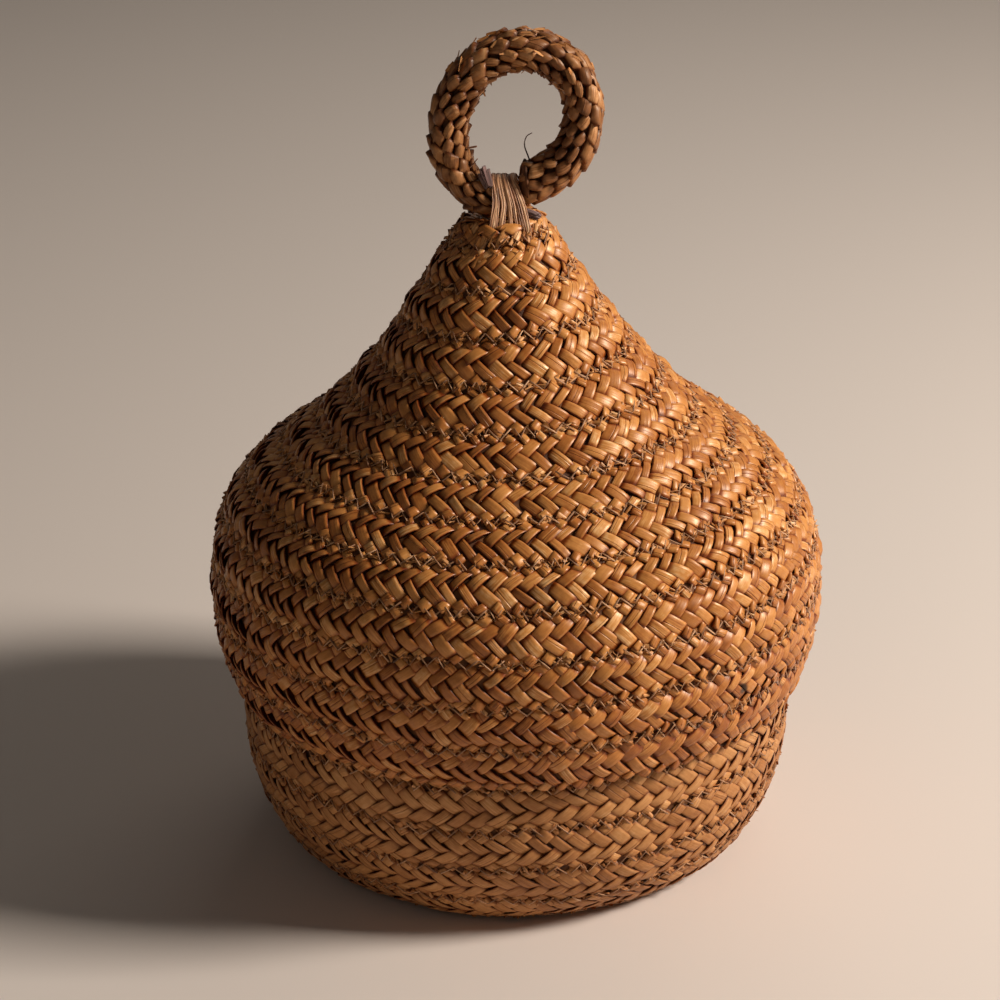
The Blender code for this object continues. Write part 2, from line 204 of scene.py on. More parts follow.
def new_material(name: str) -> tuple[Material, Tree, Node]:
    """Makes a material with an empty tree but for its shader and output.

    Args:
        name: what the real material is.

    Returns:
        The material, its tree and its Principled shader.
    """
    material = bpy.data.materials.new(name)
    material.use_nodes = True
    tree = material.node_tree
    return material, tree, tree.nodes["Principled BSDF"]


def fibres(tree: Tree, spacing: float, stretch: float, shifts: tuple[float, float],
           **others: float) -> dict[str, Socket]:
    """Draws the grain of the fibres that run along a strand.

    Args:
        tree: the material's tree.
        spacing: of the fibres, in millimetres.
        stretch: their length, in spacings.
        shifts: across and aside, from the grain of the darkest strand to that of the palest.
        others: settings of the noise by name.

    Returns:
        By name the grain, the places across and along the strand in millimetres, and its tone.
    """
    strand = add_node(tree, "ShaderNodeUVMap", {"uv_map": "strand"}).outputs[0]
    found = parts_of(tree, strand, ("across", "along"))
    found["tone"] = add_node(tree, "ShaderNodeAttribute", {"attribute_name": "tone"}).outputs["Fac"]
    values = found | {"spacing": spacing, "stretch": stretch, "shift": shifts[0], "aside": shifts[1]}
    work_out(tree, """
        u = across / spacing + tone * shift
        v = along / spacing / stretch
        w = tone * aside
    """, values)
    place = combined(tree, values["u"], values["v"], values["w"])
    return found | {"grain": noise(tree, place, 1.0, 2.0, **others)[0]}


def bump(tree: Tree, height: Socket, relief: float, strength: float = 0.8) -> Socket:
    """Bends a surface's normal by a height that is relief metres at 1."""
    return add_node(tree, "ShaderNodeBump", None,
                    {"Strength": strength, "Distance": relief, "Height": height}).outputs[0]


def multiplied(tree: Tree, share: object, colour: Socket, tint: object) -> Socket:
    """Multiplies a colour by a tint, by a share of it."""
    return add_node(tree, "ShaderNodeMix", {"data_type": "RGBA", "blend_type": "MULTIPLY"},
                    {0: share, 6: colour, 7: tint}).outputs[2]


def ramp(tree: Tree, share: Socket, stops: Sequence[tuple[float, str]]) -> Socket:
    """Colours a value by stops.

    Args:
        tree: the material's tree.
        share: the value, from 0 to 1.
        stops: (place, hex colour) in rising order.

    Returns:
        The colour output.
    """
    node = add_node(tree, "ShaderNodeValToRGB", None, {0: share})
    elements = node.color_ramp.elements
    while len(elements) < len(stops):
        elements.new(0.5)
    for element, (place, colour) in zip(elements, stops):
        element.position, element.color = place, linear(colour)
    return node.outputs["Color"]


# Finishes


@dataclass(frozen=True)
class StrawFinish:
    """Dried straw, split, flattened and plaited damp: satin, with golden highlights, ribbed along it.

    Each strand has a tone of its own in the attribute "tone". The UV map "strand" runs in
    millimetres, across the strand and along it. Its colour is darkened by painted shade along its
    edges and where its ends go under the strands that it crosses.

    Attributes:
        name: the material's name.
        tones: (place, hex colour) from the darkest strands to the palest.
        low_tint: multiplies the colour towards the foot of the box, which makes it a little darker and
            duller there.
        low_from: height up to which it is dulled in full.
        low_to: height from which it isn't.
        half_width: of a strand, in millimetres.
        tucked_shade: brightness where a strand goes under one that it crosses: painted shade of that
            contact.
        crevice_shade: brightness along its edges, widest on the lower one, beside the next strand: painted
            shade of the gap there.
        rib: spacing of the ribs, in millimetres. Real ones are nearer 0.2 and would not show.
        roughness: of the waxy skin between ribs.
        gloss: weight of the clear waxy skin.
        spread: how much the strands differ in tone.
        redness: how much redder the colour gets where it is darkened, from 1, not at all. In the painted
            shade it paints the light bounced between strands; it reddens the darker patches and splits as
            well.
        patch: size of the patches that are a little darker or paler.
        fleck: size of the flecks along a strand.
        relief: depth of the ribs.
        stain: place of a small dark stain, if there is one.
        stain_from: radius of the stain's dark middle.
        stain_to: radius where it ends.
    """

    name: str
    tones: tuple[tuple[float, str], ...]
    low_tint: str = "#F2E6E0"
    low_from: float = 20 * MM
    low_to: float = 100 * MM
    half_width: float = 1.5
    tucked_shade: float = 0.36
    crevice_shade: float = 0.34
    rib: float = 0.42
    roughness: float = 0.40
    gloss: float = 0.12
    spread: float = 0.55
    redness: float = 1.5
    patch: float = 22 * MM
    fleck: float = 1.6 * MM
    relief: float = 0.14 * MM
    stain: tuple[float, float, float] | None = None
    stain_from: float = 0.8 * MM
    stain_to: float = 2.0 * MM

    def material(self) -> Material:
        """Builds the node material.

        Returns:
            The material.
        """
        material, tree, shader = new_material(self.name)
        values = vars(self) | fibres(tree, self.rib, 16.0, (31.0, 57.0), Roughness=0.6)
        place = add_node(tree, "ShaderNodeTexCoord").outputs["Object"]
        values["patches"] = noise(tree, place, self.patch, 2.0)[0]
        values["flecks"] = noise(tree, place, self.fleck, 2.0)[0]
        values["reach"] = add_node(tree, "ShaderNodeAttribute", {"attribute_name": "along"}).outputs["Fac"]
        values["low"] = eased(tree, parts_of(tree, place)["z"], self.low_from, self.low_to, 1.0, 0.0)
        work_out(tree, """
            split = (min(1, max(0, (fract(tone * 23.7) - 0.62) * 20))
                     * max(0, 1 - abs(across - half_width * (fract(tone * 7.31) - 0.5)) / 0.14))
            fibrous = 0.35 + 0.75 * min(1, max(0, (fract(tone * 13.7) - 0.6) * 8))
            share = 0.5 + (tone - 0.5) * spread + (grain - 0.5) * fibrous + (flecks - 0.5) * 0.4
            border = max(0 - across, abs(across) - 0.07 * half_width)
            far = abs(reach) + (grain - 0.5) * 0.3
            height = grain * (0.4 + 0.6 * fibrous) - 1.2 * split
            matt = roughness + (0.55 - grain) * 0.45 + low * 0.1
        """, values)
        # Painted shade: darker along a strand's edges, most on its lower one, and towards its ends, where
        # it goes under the strand that it crosses.
        values["edge"] = eased(tree, values["border"], self.half_width * 0.78, self.half_width * 0.95,
                               1.0, self.crevice_shade)
        values["covered"] = eased(tree, values["far"], 0.66, 1.04, 1.0, self.tucked_shade)
        # The painted shade, the patches and the splits darken the colour together, and it gets redder as it
        # darkens, painted like light bounced between strands.
        work_out(tree, """
            red = edge * covered * (1.16 - 0.34 * patches) * (1 - 0.4 * split)
            green = red ** redness
            blue = red ** (2 * redness - 1)
        """, values)
        shade = add_node(tree, "ShaderNodeCombineColor", None,
                         {0: values["red"], 1: values["green"], 2: values["blue"]}).outputs[0]
        straw = ramp(tree, values["share"], self.tones)
        colour = multiplied(tree, 1.0, multiplied(tree, values["low"], straw, linear(self.low_tint)), shade)
        if self.stain:
            colour = multiplied(tree, self.near_stain(tree, place), colour, linear("#23222E"))
        set_inputs(tree, shader, {
            "Base Color": colour, "Roughness": values["matt"], "IOR": 1.5, "Specular IOR Level": 0.6,
            "Specular Tint": linear("#FFE8CC"), "Coat Weight": self.gloss, "Coat Roughness": 0.3,
            "Normal": bump(tree, values["height"], self.relief),
        })
        return material

    def near_stain(self, tree: Tree, place: Socket) -> Socket:
        """Draws the one dark stain, strongest in its middle."""
        gap = add_node(tree, "ShaderNodeVectorMath", {"operation": "DISTANCE"},
                       {0: place, 1: self.stain}).outputs["Value"]
        return eased(tree, gap, self.stain_from, self.stain_to, 0.9, 0.0)


@dataclass(frozen=True)
class TwineFinish:
    """Thin twisted or split raffia, undyed and dry: matt, with fine fibres along it.

    Attributes:
        name: the material's name.
        tones: (place, hex colour) from dark fibres to pale.
        fibre: spacing of the fibres, in millimetres, drawn about twice the real one.
        roughness: dry fibre is matt.
        sheen: the soft edge light of loose fibre.
        relief: depth between fibres.
    """

    name: str
    tones: tuple[tuple[float, str], ...]
    fibre: float = 0.22
    roughness: float = 0.62
    sheen: float = 0.15
    relief: float = 0.12 * MM

    def material(self) -> Material:
        """Builds the node material.

        Returns:
            The material.
        """
        material, tree, shader = new_material(self.name)
        values = fibres(tree, self.fibre, 22.0, (19.0, 43.0))
        share = work_out(tree, "share = tone * 0.5 + (grain - 0.5) * 2 + 0.25", values)
        set_inputs(tree, shader, {
            "Base Color": ramp(tree, share, self.tones), "Roughness": self.roughness,
            "Sheen Weight": self.sheen, "Sheen Roughness": 0.5,
            "Normal": bump(tree, values["grain"], self.relief),
        })
        return material


@dataclass(frozen=True)
class HeartFinish:
    """The straw deep inside a plait, seen only through its gaps: dull, and painted dark as the shade that
    lies there.

    Attributes:
        name: the material's name.
        dark: hex colour of the darker patches.
        pale: hex colour of the paler patches.
        patch: size of the patches.
        relief: depth of the broken surface.
    """

    name: str
    dark: str
    pale: str
    patch: float = 2.5 * MM
    relief: float = 0.2 * MM

    def material(self) -> Material:
        """Builds the node material.

        Returns:
            The material.
        """
        material, tree, shader = new_material(self.name)
        place = add_node(tree, "ShaderNodeTexCoord").outputs["Object"]
        dust = noise(tree, place, self.patch, 3.0)[0]
        set_inputs(tree, shader, {
            "Base Color": ramp(tree, dust, ((0.35, self.dark), (0.7, self.pale))),
            "Roughness": 0.8, "Normal": bump(tree, dust, self.relief, 0.6),
        })
        return material


@dataclass(frozen=True)
class FloorFinish:
    """A plain pale matt floor, clear from below so that the underside can be seen.

    Attributes:
        name: the material's name.
        colour: hex colour.
    """

    name: str
    colour: str

    def material(self) -> Material:
        """Builds the node material.

        Returns:
            The material.
        """
        material, tree, shader = new_material(self.name)
        set_inputs(tree, shader, {"Base Color": linear(self.colour), "Roughness": 0.55})
        behind = add_node(tree, "ShaderNodeNewGeometry").outputs["Backfacing"]
        clear = add_node(tree, "ShaderNodeBsdfTransparent").outputs[0]
        mixed = add_node(tree, "ShaderNodeMixShader", None,
                         {0: behind, 1: shader.outputs[0], 2: clear}).outputs[0]
        tree.links.new(mixed, tree.nodes["Material Output"].inputs["Surface"])
        return material


STRAW_TONES = ((0.0, "#642C0A"), (0.3, "#A46028"), (0.65, "#CB8946"), (1.0, "#F6CE96"))
GOLDEN_STRAW = StrawFinish("golden plaited straw", STRAW_TONES, crevice_shade=0.28, spread=0.4, redness=1.75,
                           stain=(0.0559, -0.0568, 0.0651))
EVEN_STRAW = StrawFinish(
    "even golden plaited straw",
    ((0.0, "#6E421E"), (0.3, "#A8703C"), (0.65, "#CA945A"), (1.0, "#E6BE8A")),
    spread=0.3, tucked_shade=0.4, roughness=0.46, gloss=0.06,
)
BRAID_STRAW = StrawFinish(
    "golden braided straw",
    ((0.0, "#46260F"), (0.3, "#784824"), (0.65, "#A87242"), (1.0, "#E4B07C")),
    half_width=1.6, tucked_shade=0.22, crevice_shade=0.4, roughness=0.48, gloss=0.05, spread=0.45,
)
LINING_STRAW = StrawFinish(
    "shaded plaited straw",
    ((0.0, "#6C3C16"), (0.3, "#9C622E"), (0.65, "#B97E40"), (1.0, "#D2A062")),
    roughness=0.5, gloss=0.05,
)
SPLIT_STRAW = StrawFinish(
    "split straw ends",
    ((0.0, "#6E3E16"), (0.35, "#A86C34"), (0.7, "#D0945A"), (1.0, "#F2C892")),
    half_width=0.7, tucked_shade=0.8, crevice_shade=0.6, roughness=0.5, gloss=0.1, rib=0.3,
)
SEWING_TWINE = TwineFinish(
    "twisted sewing twine", ((0.0, "#5C3A1E"), (0.5, "#986840"), (1.0, "#D8A87C")),
)
LASHING_RAFFIA = TwineFinish(
    "split raffia", ((0.0, "#5C3418"), (0.35, "#9C6640"), (0.7, "#CC9668"), (1.0, "#ECC69A")),
    fibre=0.2, roughness=0.5,
)
DARK_RAFFIA = TwineFinish(
    "dark raffia ends", ((0.0, "#2C1A14"), (0.5, "#5E4038"), (1.0, "#94716A")), fibre=0.25,
)
# The dark middle of the walls and the ring, coloured as painted shade.
PAINTED_SHADE_HEART = HeartFinish("straw inside the plait in painted shade", "#42200A", "#7E4C20")
PALE_FLOOR = FloorFinish("pale matt floor", "#DDD2C8")


# Outlines


def smooth_step(value: float, low: float, high: float) -> float:
    """Rises smoothly from 0 at low to 1 at high."""
    share = min(1.0, max(0.0, (value - low) / (high - low)))
    return share * share * (3 - 2 * share)


@dataclass(frozen=True)
class Outline:
    """Half outline of a turned wall, walked by distance from its first knot.

    Attributes:
        knots: (radius, height, heading in degrees) in millimetres, as the solids have them.
        side: 1 where the walk goes down the outside, and -1 where it goes up it.
        handle: of the curve between two knots, as a share of their distance.
        steps: points between two knots.
    """

    knots: tuple[tuple[float, float, float], ...]
    side: int
    handle: float = 0.38
    steps: int = 48

    @cached_property
    def points(self) -> np.ndarray:
        """(radius, height) of each point, in metres."""
        knots = [(radius * MM, height * MM, math.radians(turn)) for radius, height, turn in self.knots]
        found = [np.array(knots[0][:2])]
        for (r0, z0, a0), (r1, z1, a1) in zip(knots[:-1], knots[1:]):
            reach = math.hypot(r1 - r0, z1 - z0) * self.handle
            start, end = np.array([r0, z0]), np.array([r1, z1])
            out = start + reach * np.array([math.cos(a0), math.sin(a0)])
            back = end - reach * np.array([math.cos(a1), math.sin(a1)])
            for i in range(1, self.steps + 1):
                t, u = i / self.steps, 1 - i / self.steps
                found.append(u**3 * start + 3 * u * u * t * out + 3 * u * t * t * back + t**3 * end)
        return np.array(found)

    @cached_property
    def walked(self) -> np.ndarray:
        """Distance of each point from the first."""
        return np.concatenate([[0.0], np.cumsum(np.hypot(*np.diff(self.points, axis=0).T))])

    @property
    def length(self) -> float:
        """Distance from the first point to the last."""
        return float(self.walked[-1])

    def place(self, distance: float) -> tuple[float, float, float, float]:
        """Finds a point of the wall and the direction out of it.

        Args:
            distance: along the outline.

        Returns:
            Radius and height of the point, then of the direction.
        """
        tangents = np.gradient(self.points, self.walked, axis=0)
        r, z, tr, tz = (float(np.interp(distance, self.walked, column))
                        for column in (*self.points.T, *tangents.T))
        size = math.hypot(tr, tz) * self.side
        return r, z, -tz / size, tr / size

    def curve(self, name: str) -> Thing:
        """Makes the outline a line object in the XZ plane, which a tree can walk."""
        return line_object(name, [(r, 0.0, z) for r, z in self.points])


def line_object(name: str, points: Sequence[Sequence[float]]) -> Thing:
    """Makes a helper line, which is removed once the trees have run.

    Args:
        name: of the object.
        points: in metres.

    Returns:
        The curve object.
    """
    data = bpy.data.curves.new(name, "CURVE")
    data.dimensions = "3D"
    spline = data.splines.new("POLY")
    spline.points.add(len(points) - 1)
    spline.points.foreach_set("co", np.array([(*p, 1.0) for p in points], float).ravel())
    return add_object(name, data)


def add_object(name: str, data: bpy.types.ID) -> Thing:
    """Adds an object at the origin.

    Args:
        name: of the object.
        data: its mesh, curve, camera or lamp.

    Returns:
        The object.
    """
    obj = bpy.data.objects.new(name, data)
    bpy.context.scene.collection.objects.link(obj)
    return obj


# Strands as units that repeat


@dataclass
class Shape:
    """A closed mesh under construction, with what each point and corner needs for its pattern.

    In a unit that a tree repeats, a point's place is (steps along the row, share of the row's
    width, metres outward).

    Attributes:
        points: the places.
        across: for each point, half the strand's width as a place, and its share of that.
        along: for each point, its share of the strand's half length.
        part: for each point, its strand's number in the unit.
        strand: for each point, its place on the strand in millimetres, across and along.
        faces: numbers of their points.
    """

    points: list[tuple[float, float, float]] = field(default_factory=list)
    across: list[tuple[float, float, float]] = field(default_factory=list)
    along: list[float] = field(default_factory=list)
    part: list[int] = field(default_factory=list)
    strand: list[tuple[float, float]] = field(default_factory=list)
    faces: list[list[int]] = field(default_factory=list)

    def add_point(self, place: tuple[float, float, float], across: tuple[float, float, float],
                  along: float, part: int, strand: tuple[float, float]) -> int:
        """Adds a point.

        Args:
            place: of the point.
            across: half its strand's width as a place, and its share of that.
            along: its share of its strand's half length.
            part: its strand's number in the unit.
            strand: its place on the strand.

        Returns:
            Its number.
        """
        self.points.append(place)
        self.across.append(across)
        self.along.append(along)
        self.part.append(part)
        self.strand.append(strand)
        return len(self.points) - 1

    def skin(self, rings: Sequence[list[int]], inward: bool = False) -> None:
        """Covers rings of points and closes both ends.

        Args:
            rings: the points' numbers, from one end to the other.
            inward: True where the rings run the other way round.
        """
        for lower, upper in zip(rings[:-1], rings[1:]):
            for k in range(len(lower)):
                j = (k + 1) % len(lower)
                self.faces.append([lower[k], upper[k], upper[j], lower[j]] if inward
                                  else [lower[k], lower[j], upper[j], upper[k]])
        self.faces += [rings[0], rings[-1][::-1]] if inward else [rings[0][::-1], rings[-1]]

    def add_tube(self, path: np.ndarray, radii: Sequence[float], sides: int,
                 aside: Callable[[np.ndarray], np.ndarray], flat: float = 1.0, part: int = 0,
                 scale: Sequence[float] = (1.0, 1.0, 1.0), unit: float = 1.0) -> None:
        """Adds a closed tube or ribbon.

        Args:
            path: its middle line.
            radii: half its width at each point of the path.
            sides: of its section.
            aside: gives the direction of its width for a direction of the path.
            flat: thickness as a share of width.
            part: number of the tube.
            scale: turns the path's measures into the shape's.
            unit: a millimetre in the path's measures.
        """
        tangents = np.gradient(path, axis=0)
        tangents /= np.linalg.norm(tangents, axis=1)[:, None]
        rings, walked = [], 0.0
        for i, (point, tangent) in enumerate(zip(path, tangents)):
            walked += float(np.linalg.norm(point - path[max(0, i - 1)]))
            across = aside(tangent)
            across /= np.linalg.norm(across)
            out = np.cross(tangent, across)
            ring = []
            for k in range(sides):
                turn = TURN * k / sides
                place = point + radii[i] * (math.cos(turn) * across + flat * math.sin(turn) * out)
                ring.append(self.add_point(tuple(place * scale), (0.0, 0.0, 0.0), 0.0, part,
                                           (float(radii[i]) * turn / unit, walked / unit)))
            rings.append(ring)
        self.skin(rings)

    def mesh_object(self, name: str, crease: float = 48.0) -> Thing:
        """Makes the mesh object.

        Args:
            name: of the object.
            crease: angle in degrees above which an edge is sharp.

        Returns:
            The object, with the attributes across, along and part, and the UV map strand.
        """
        mesh = bpy.data.meshes.new(name)
        mesh.from_pydata(self.points, [], self.faces)
        mesh.attributes.new("across", "FLOAT_VECTOR", "POINT").data.foreach_set(
            "vector", np.array(self.across, float).ravel())
        mesh.attributes.new("along", "FLOAT", "POINT").data.foreach_set("value", self.along)
        mesh.attributes.new("part", "INT", "POINT").data.foreach_set("value", self.part)
        corners = np.zeros(len(mesh.loops), np.int32)
        mesh.loops.foreach_get("vertex_index", corners)
        mesh.uv_layers.new(name="strand").data.foreach_set(
            "uv", np.array(self.strand, float)[corners].ravel())
        mesh.shade_smooth()
        mesh.set_sharp_from_angle(angle=math.radians(crease))
        mesh.validate()
        return add_object(name, mesh)


@dataclass(frozen=True)
class Float:
    """A stretch of one flat strand that lies on top of those it crosses.

    Attributes:
        centre: (steps along the row, share of the row's width).
        along: from the centre to where the next strand covers it.
        across: from the centre to the strand's edge.
        rise: height of its crown over the middle of the plait.
        reach: places along it, as shares of along, where its mesh has points.
        edges: (share of across, drop in metres) over its width.
        dive: how far its covered ends go down, as a share of rise.
        sharpness: power of its arch. A higher one is flatter on top.
        deepest: lowest place of its ends, as a share of rise.
        cant: how much higher its edge at +across lies than its middle.
        tilt: how much higher its end at +along lies than its middle.
        taper: share of its width that its ends lose.
        size_mm: half length and half width, for its pattern.
    """

    centre: tuple[float, float]
    along: tuple[float, float]
    across: tuple[float, float]
    rise: float
    reach: tuple[float, ...]
    edges: tuple[tuple[float, float], ...]
    dive: float = 0.5
    sharpness: float = 3.0
    deepest: float = -0.25
    cant: float = 0.0
    tilt: float = 0.0
    taper: float = 0.0
    size_mm: tuple[float, float] = (3.0, 1.5)

    def add_to(self, shape: Shape, part: int, layer: Layer) -> None:
        """Adds the stretch to a unit as a closed body.

        Args:
            shape: the unit.
            part: number of this stretch in the unit.
            layer: the side of the wall that it shows on.
        """
        grid: list[list[int]] = []
        for a in self.reach:
            line = []
            width = 1.0 - self.taper * min(1.0, max(0.0, abs(a) - 0.2) / 0.8)
            for b, drop in self.edges:
                x = self.centre[0] + a * self.along[0] + b * width * self.across[0]
                y = self.centre[1] + a * self.along[1] + b * width * self.across[1]
                arch = max(self.deepest, 1.0 - self.dive * abs(a) ** self.sharpness)
                z = self.rise * arch - drop + self.cant * b + self.tilt * a
                across = (*self.across, b)
                # The strand map's across is turned so that the painted crevice shade falls on the strand's
                # lower edge.
                strand = (b * self.size_mm[1] * (-1 if self.cant < 0 else 1), a * self.size_mm[0])
                line.append(shape.add_point((x, y, z * layer.value), across, a, part, strand))
            grid.append(line)
        turned = self.along[0] * self.across[1] - self.along[1] * self.across[0]
        flip = (turned < 0) != (layer is Layer.INNER)
        rim = grid[0] + [line[-1] for line in grid[1:-1]] + grid[-1][::-1]
        rim += [line[0] for line in grid[-2:0:-1]]
        faces = [[grid[i][j], grid[i + 1][j], grid[i + 1][j + 1], grid[i][j + 1]]
                 for i in range(len(grid) - 1) for j in range(len(grid[0]) - 1)]
        faces.append(rim)
        shape.faces += [face[::-1] if flip else face for face in faces]


FINE_REACH = (-1.28, -1.0, -0.78, -0.35, 0.35, 0.78, 1.0, 1.28)
FINE_EDGES = ((-1.0, 0.34 * MM), (-0.92, 0.06 * MM), (-0.45, 0.0), (0.45, 0.0), (0.92, 0.06 * MM),
              (1.0, 0.34 * MM))
EDGE_REACH = (-1.0, -0.88, -0.45, 0.45, 0.88, 1.0)
EDGE_EDGES = ((-1.0, 0.6 * MM), (-0.92, 0.06 * MM), (0.0, 0.0), (0.92, 0.06 * MM), (1.0, 0.6 * MM))
BRAID_REACH = (-1.12, -0.95, -0.75, -0.25, 0.25, 0.75, 0.95, 1.12)
BRAID_EDGES = ((-1.0, 1.0 * MM), (-0.94, 0.06 * MM), (0.0, 0.0), (0.94, 0.06 * MM), (1.0, 1.0 * MM))
COARSE_REACH = (-1.2, -0.7, 0.7, 1.2)
COARSE_EDGES = ((-1.0, 0.4 * MM), (-0.7, 0.08 * MM), (0.7, 0.08 * MM), (1.0, 0.4 * MM))


def plait_unit(name: str, layer: Layer, cants: tuple[float, float] = (0.0, 0.0),
               tight: float = 0.97) -> Thing:
    """Makes one step of a seven-strand flat plait.

    From one edge to the other, the strand on top leans one way for one crossing, the other way for
    two, the first way for two and the other way for one, so that the row shows a chevron.

    Args:
        name: of the object.
        layer: the side of the wall.
        cants: how much one edge of a strand is lifted, for the strands of the two directions.
        tight: width of a strand, as a share of the room that it has.

    Returns:
        The helper object that a tree repeats.
    """
    fine = layer is Layer.OUTER
    reach, edges = (FINE_REACH, FINE_EDGES) if fine else (COARSE_REACH, COARSE_EDGES)
    block_reach, block_edges = (EDGE_REACH, EDGE_EDGES) if fine else (COARSE_REACH, COARSE_EDGES)
    rise = 0.96 * MM if fine else 0.62 * MM
    long = {"dive": 0.72, "sharpness": 2.6, "deepest": -0.25 if fine else 0.3}
    block = {"dive": 0.8, "sharpness": 13.0, "deepest": 0.1, "size_mm": (1.2, 1.2)}
    floats = (
        Float((0.75, 0.318), (0.5, 0.156), (0.25 * tight, -0.083 * tight), rise, reach, edges,
              cant=cants[0], **long),
        Float((0.25, 0.655), (0.5, -0.179), (0.25 * tight, 0.083 * tight), rise, reach, edges,
              cant=cants[1], **long),
        Float((0.02, 0.11), (0.25, -0.082), (0.21, 0.074), 0.8 * rise, block_reach, block_edges,
              cant=-0.08 * MM, tilt=-0.1 * MM, **block),
        Float((0.5, 0.886), (-0.24, -0.085), (0.23, -0.082), rise, block_reach, block_edges,
              cant=0.08 * MM, tilt=-0.15 * MM, **block),
    )
    shape = Shape()
    for part, stretch in enumerate(floats):
        stretch.add_to(shape, part, layer)
    return shape.mesh_object(name)


def braid_unit(name: str, bands: int) -> Thing:
    """Makes one step of a round braid, whose strands show as columns of overlapping scales.

    Args:
        name: of the object.
        bands: how many columns go round it.

    Returns:
        The helper object that a tree repeats.
    """
    shape = Shape()
    cell = 1 / (2 * bands)
    groove = 0.2 * MM
    for band in range(bands):
        middle = (2 * band + 1) * cell
        first = len(shape.points)
        Float((0.75 if band % 2 == 0 else 0.25, middle), (0.5, cell * 0.5), (0.24, -cell * 0.96),
              rise=1.05 * MM, reach=BRAID_REACH, edges=BRAID_EDGES, dive=0.85, sharpness=10.0,
              deepest=-0.5, cant=0.2 * MM, tilt=0.36 * MM, taper=0.2,
              size_mm=(2.4, 1.6)).add_to(shape, band, Layer.OUTER)
        for number in range(first, len(shape.points)):
            x, y, z = shape.points[number]
            shape.points[number] = (x, y, z - groove * min(1.5, abs(y - middle) / cell) ** 2)
    return shape.mesh_object(name, crease=17.0)


def stitch_unit(name: str, layer: Layer, step: float, row: float) -> Thing:
    """Makes one zigzag of the sewing: over the valley, through the plait and back.

    Its own sizes are in millimetres, which its scale turns into a unit's measures.

    Args:
        name: of the object.
        layer: the side of the wall.
        step: length of the zigzag, in metres.
        row: width of a row, in metres.

    Returns:
        The helper object that a tree repeats.
    """
    shape = Shape()
    scale = (MM / step, MM / row, MM * layer.value)
    half = step / MM / 2
    low, high, depth, radius = -1.4, 1.3, -1.1, 0.175
    for part, (start, end) in enumerate((((0.0, low), (half, high)), ((half, high), (2 * half, low)))):
        crown = 0.08 + 0.1 * part
        path = [(start[0], start[1] * 1.02, depth), (start[0] + 0.1, start[1] * 0.92, 0.0),
                ((start[0] + end[0]) / 2, (start[1] + end[1]) / 2, crown),
                (end[0] - 0.1, end[1] * 0.92, 0.0), (end[0], end[1] * 1.02, depth)]
        shape.add_tube(np.array(path), [radius] * len(path), 5,
                       lambda tangent: np.cross(tangent, (0.0, 0.0, 1.0)), part=part, scale=scale)
    return shape.mesh_object(name)


def bits_unit(name: str, step: float, row: float, seed: int, count: int = 4,
              length: float = 1.0) -> Thing:
    """Makes the short flat ends of split straw that are caught along one zigzag of the sewing.

    Args:
        name: of the object.
        step: length of the zigzag, in metres.
        row: width of a row, in metres.
        seed: of its chance numbers.
        count: how many there are.
        length: half of theirs, in millimetres, give or take a third.

    Returns:
        The helper object that a tree repeats.
    """
    chance = np.random.default_rng(seed)
    shape = Shape()
    edges = ((-1.0, 0.35 * MM), (-0.8, 0.04 * MM), (0.8, 0.04 * MM), (1.0, 0.35 * MM))
    for part in range(count):
        turn = math.radians(chance.uniform(-65, 65))
        half, side = length * chance.uniform(0.7, 1.3) * MM, length * chance.uniform(0.25, 0.65) * MM
        centre = ((part + 0.5 + chance.uniform(-0.3, 0.3)) / count, chance.uniform(-0.9, 0.9) * MM / row)
        along = (half * math.cos(turn) / step, half * math.sin(turn) / row)
        across = (-side * math.sin(turn) / step, side * math.cos(turn) / row)
        Float(centre, along, across, rise=0.4 * MM, reach=(-1.0, -0.6, 0.6, 1.0), edges=edges,
              dive=0.4, cant=chance.uniform(-0.12, 0.12) * MM, tilt=chance.uniform(-0.2, 0.2) * MM,
              size_mm=(half / MM, side / MM)).add_to(shape, part, Layer.OUTER)
    return shape.mesh_object(name)


def fray_unit(name: str, count: int, step: float, girth: float, seed: int) -> Thing:
    """Makes the broken straw ends that stand off one step of the braid.

    Args:
        name: of the object.
        count: how many go round it.
        step: of the braid, in metres.
        girth: of the braid, in metres.
        seed: of its chance numbers.

    Returns:
        The helper object that a tree repeats.
    """
    chance = np.random.default_rng(seed)
    shape = Shape()
    edges = ((-1.0, 0.08 * MM), (0.0, 0.0), (1.0, 0.08 * MM))
    for part in range(count):
        turn = math.radians(chance.uniform(-50, 50))
        half, side = chance.uniform(0.9, 1.8) * MM, chance.uniform(0.2, 0.4) * MM
        way = 1 if chance.random() < 0.5 else -1
        centre = (chance.uniform(0, 1), (part + chance.uniform(0, 1)) / count)
        along = (way * half * math.cos(turn) / step, half * math.sin(turn) / girth)
        across = (-side * math.sin(turn) / step, way * side * math.cos(turn) / girth)
        Float(centre, along, across, rise=1.25 * MM, reach=(-1.0, 0.0, 1.0), edges=edges, dive=0.0,
              tilt=chance.uniform(0.1, 0.4) * MM, taper=0.4,
              size_mm=(half / MM, side / MM)).add_to(shape, part, Layer.OUTER)
    return shape.mesh_object(name)


# Trees


# The last row narrows to nothing between two distances from the outline's end. A seam's valley
# deepens with a power of the distance from the row's middle. Uneven places lie a spacing apart, and
# stray by three shares of the amount, along X, Y and Z.
RUN_OUT_FROM = 6 * MM
RUN_OUT_TO = 2.5 * MM
VALLEY_POWER = 2.6
WANDER_SPACING = 24 * MM
WANDER_SHARES = (0.6, 0.6, 2.0)


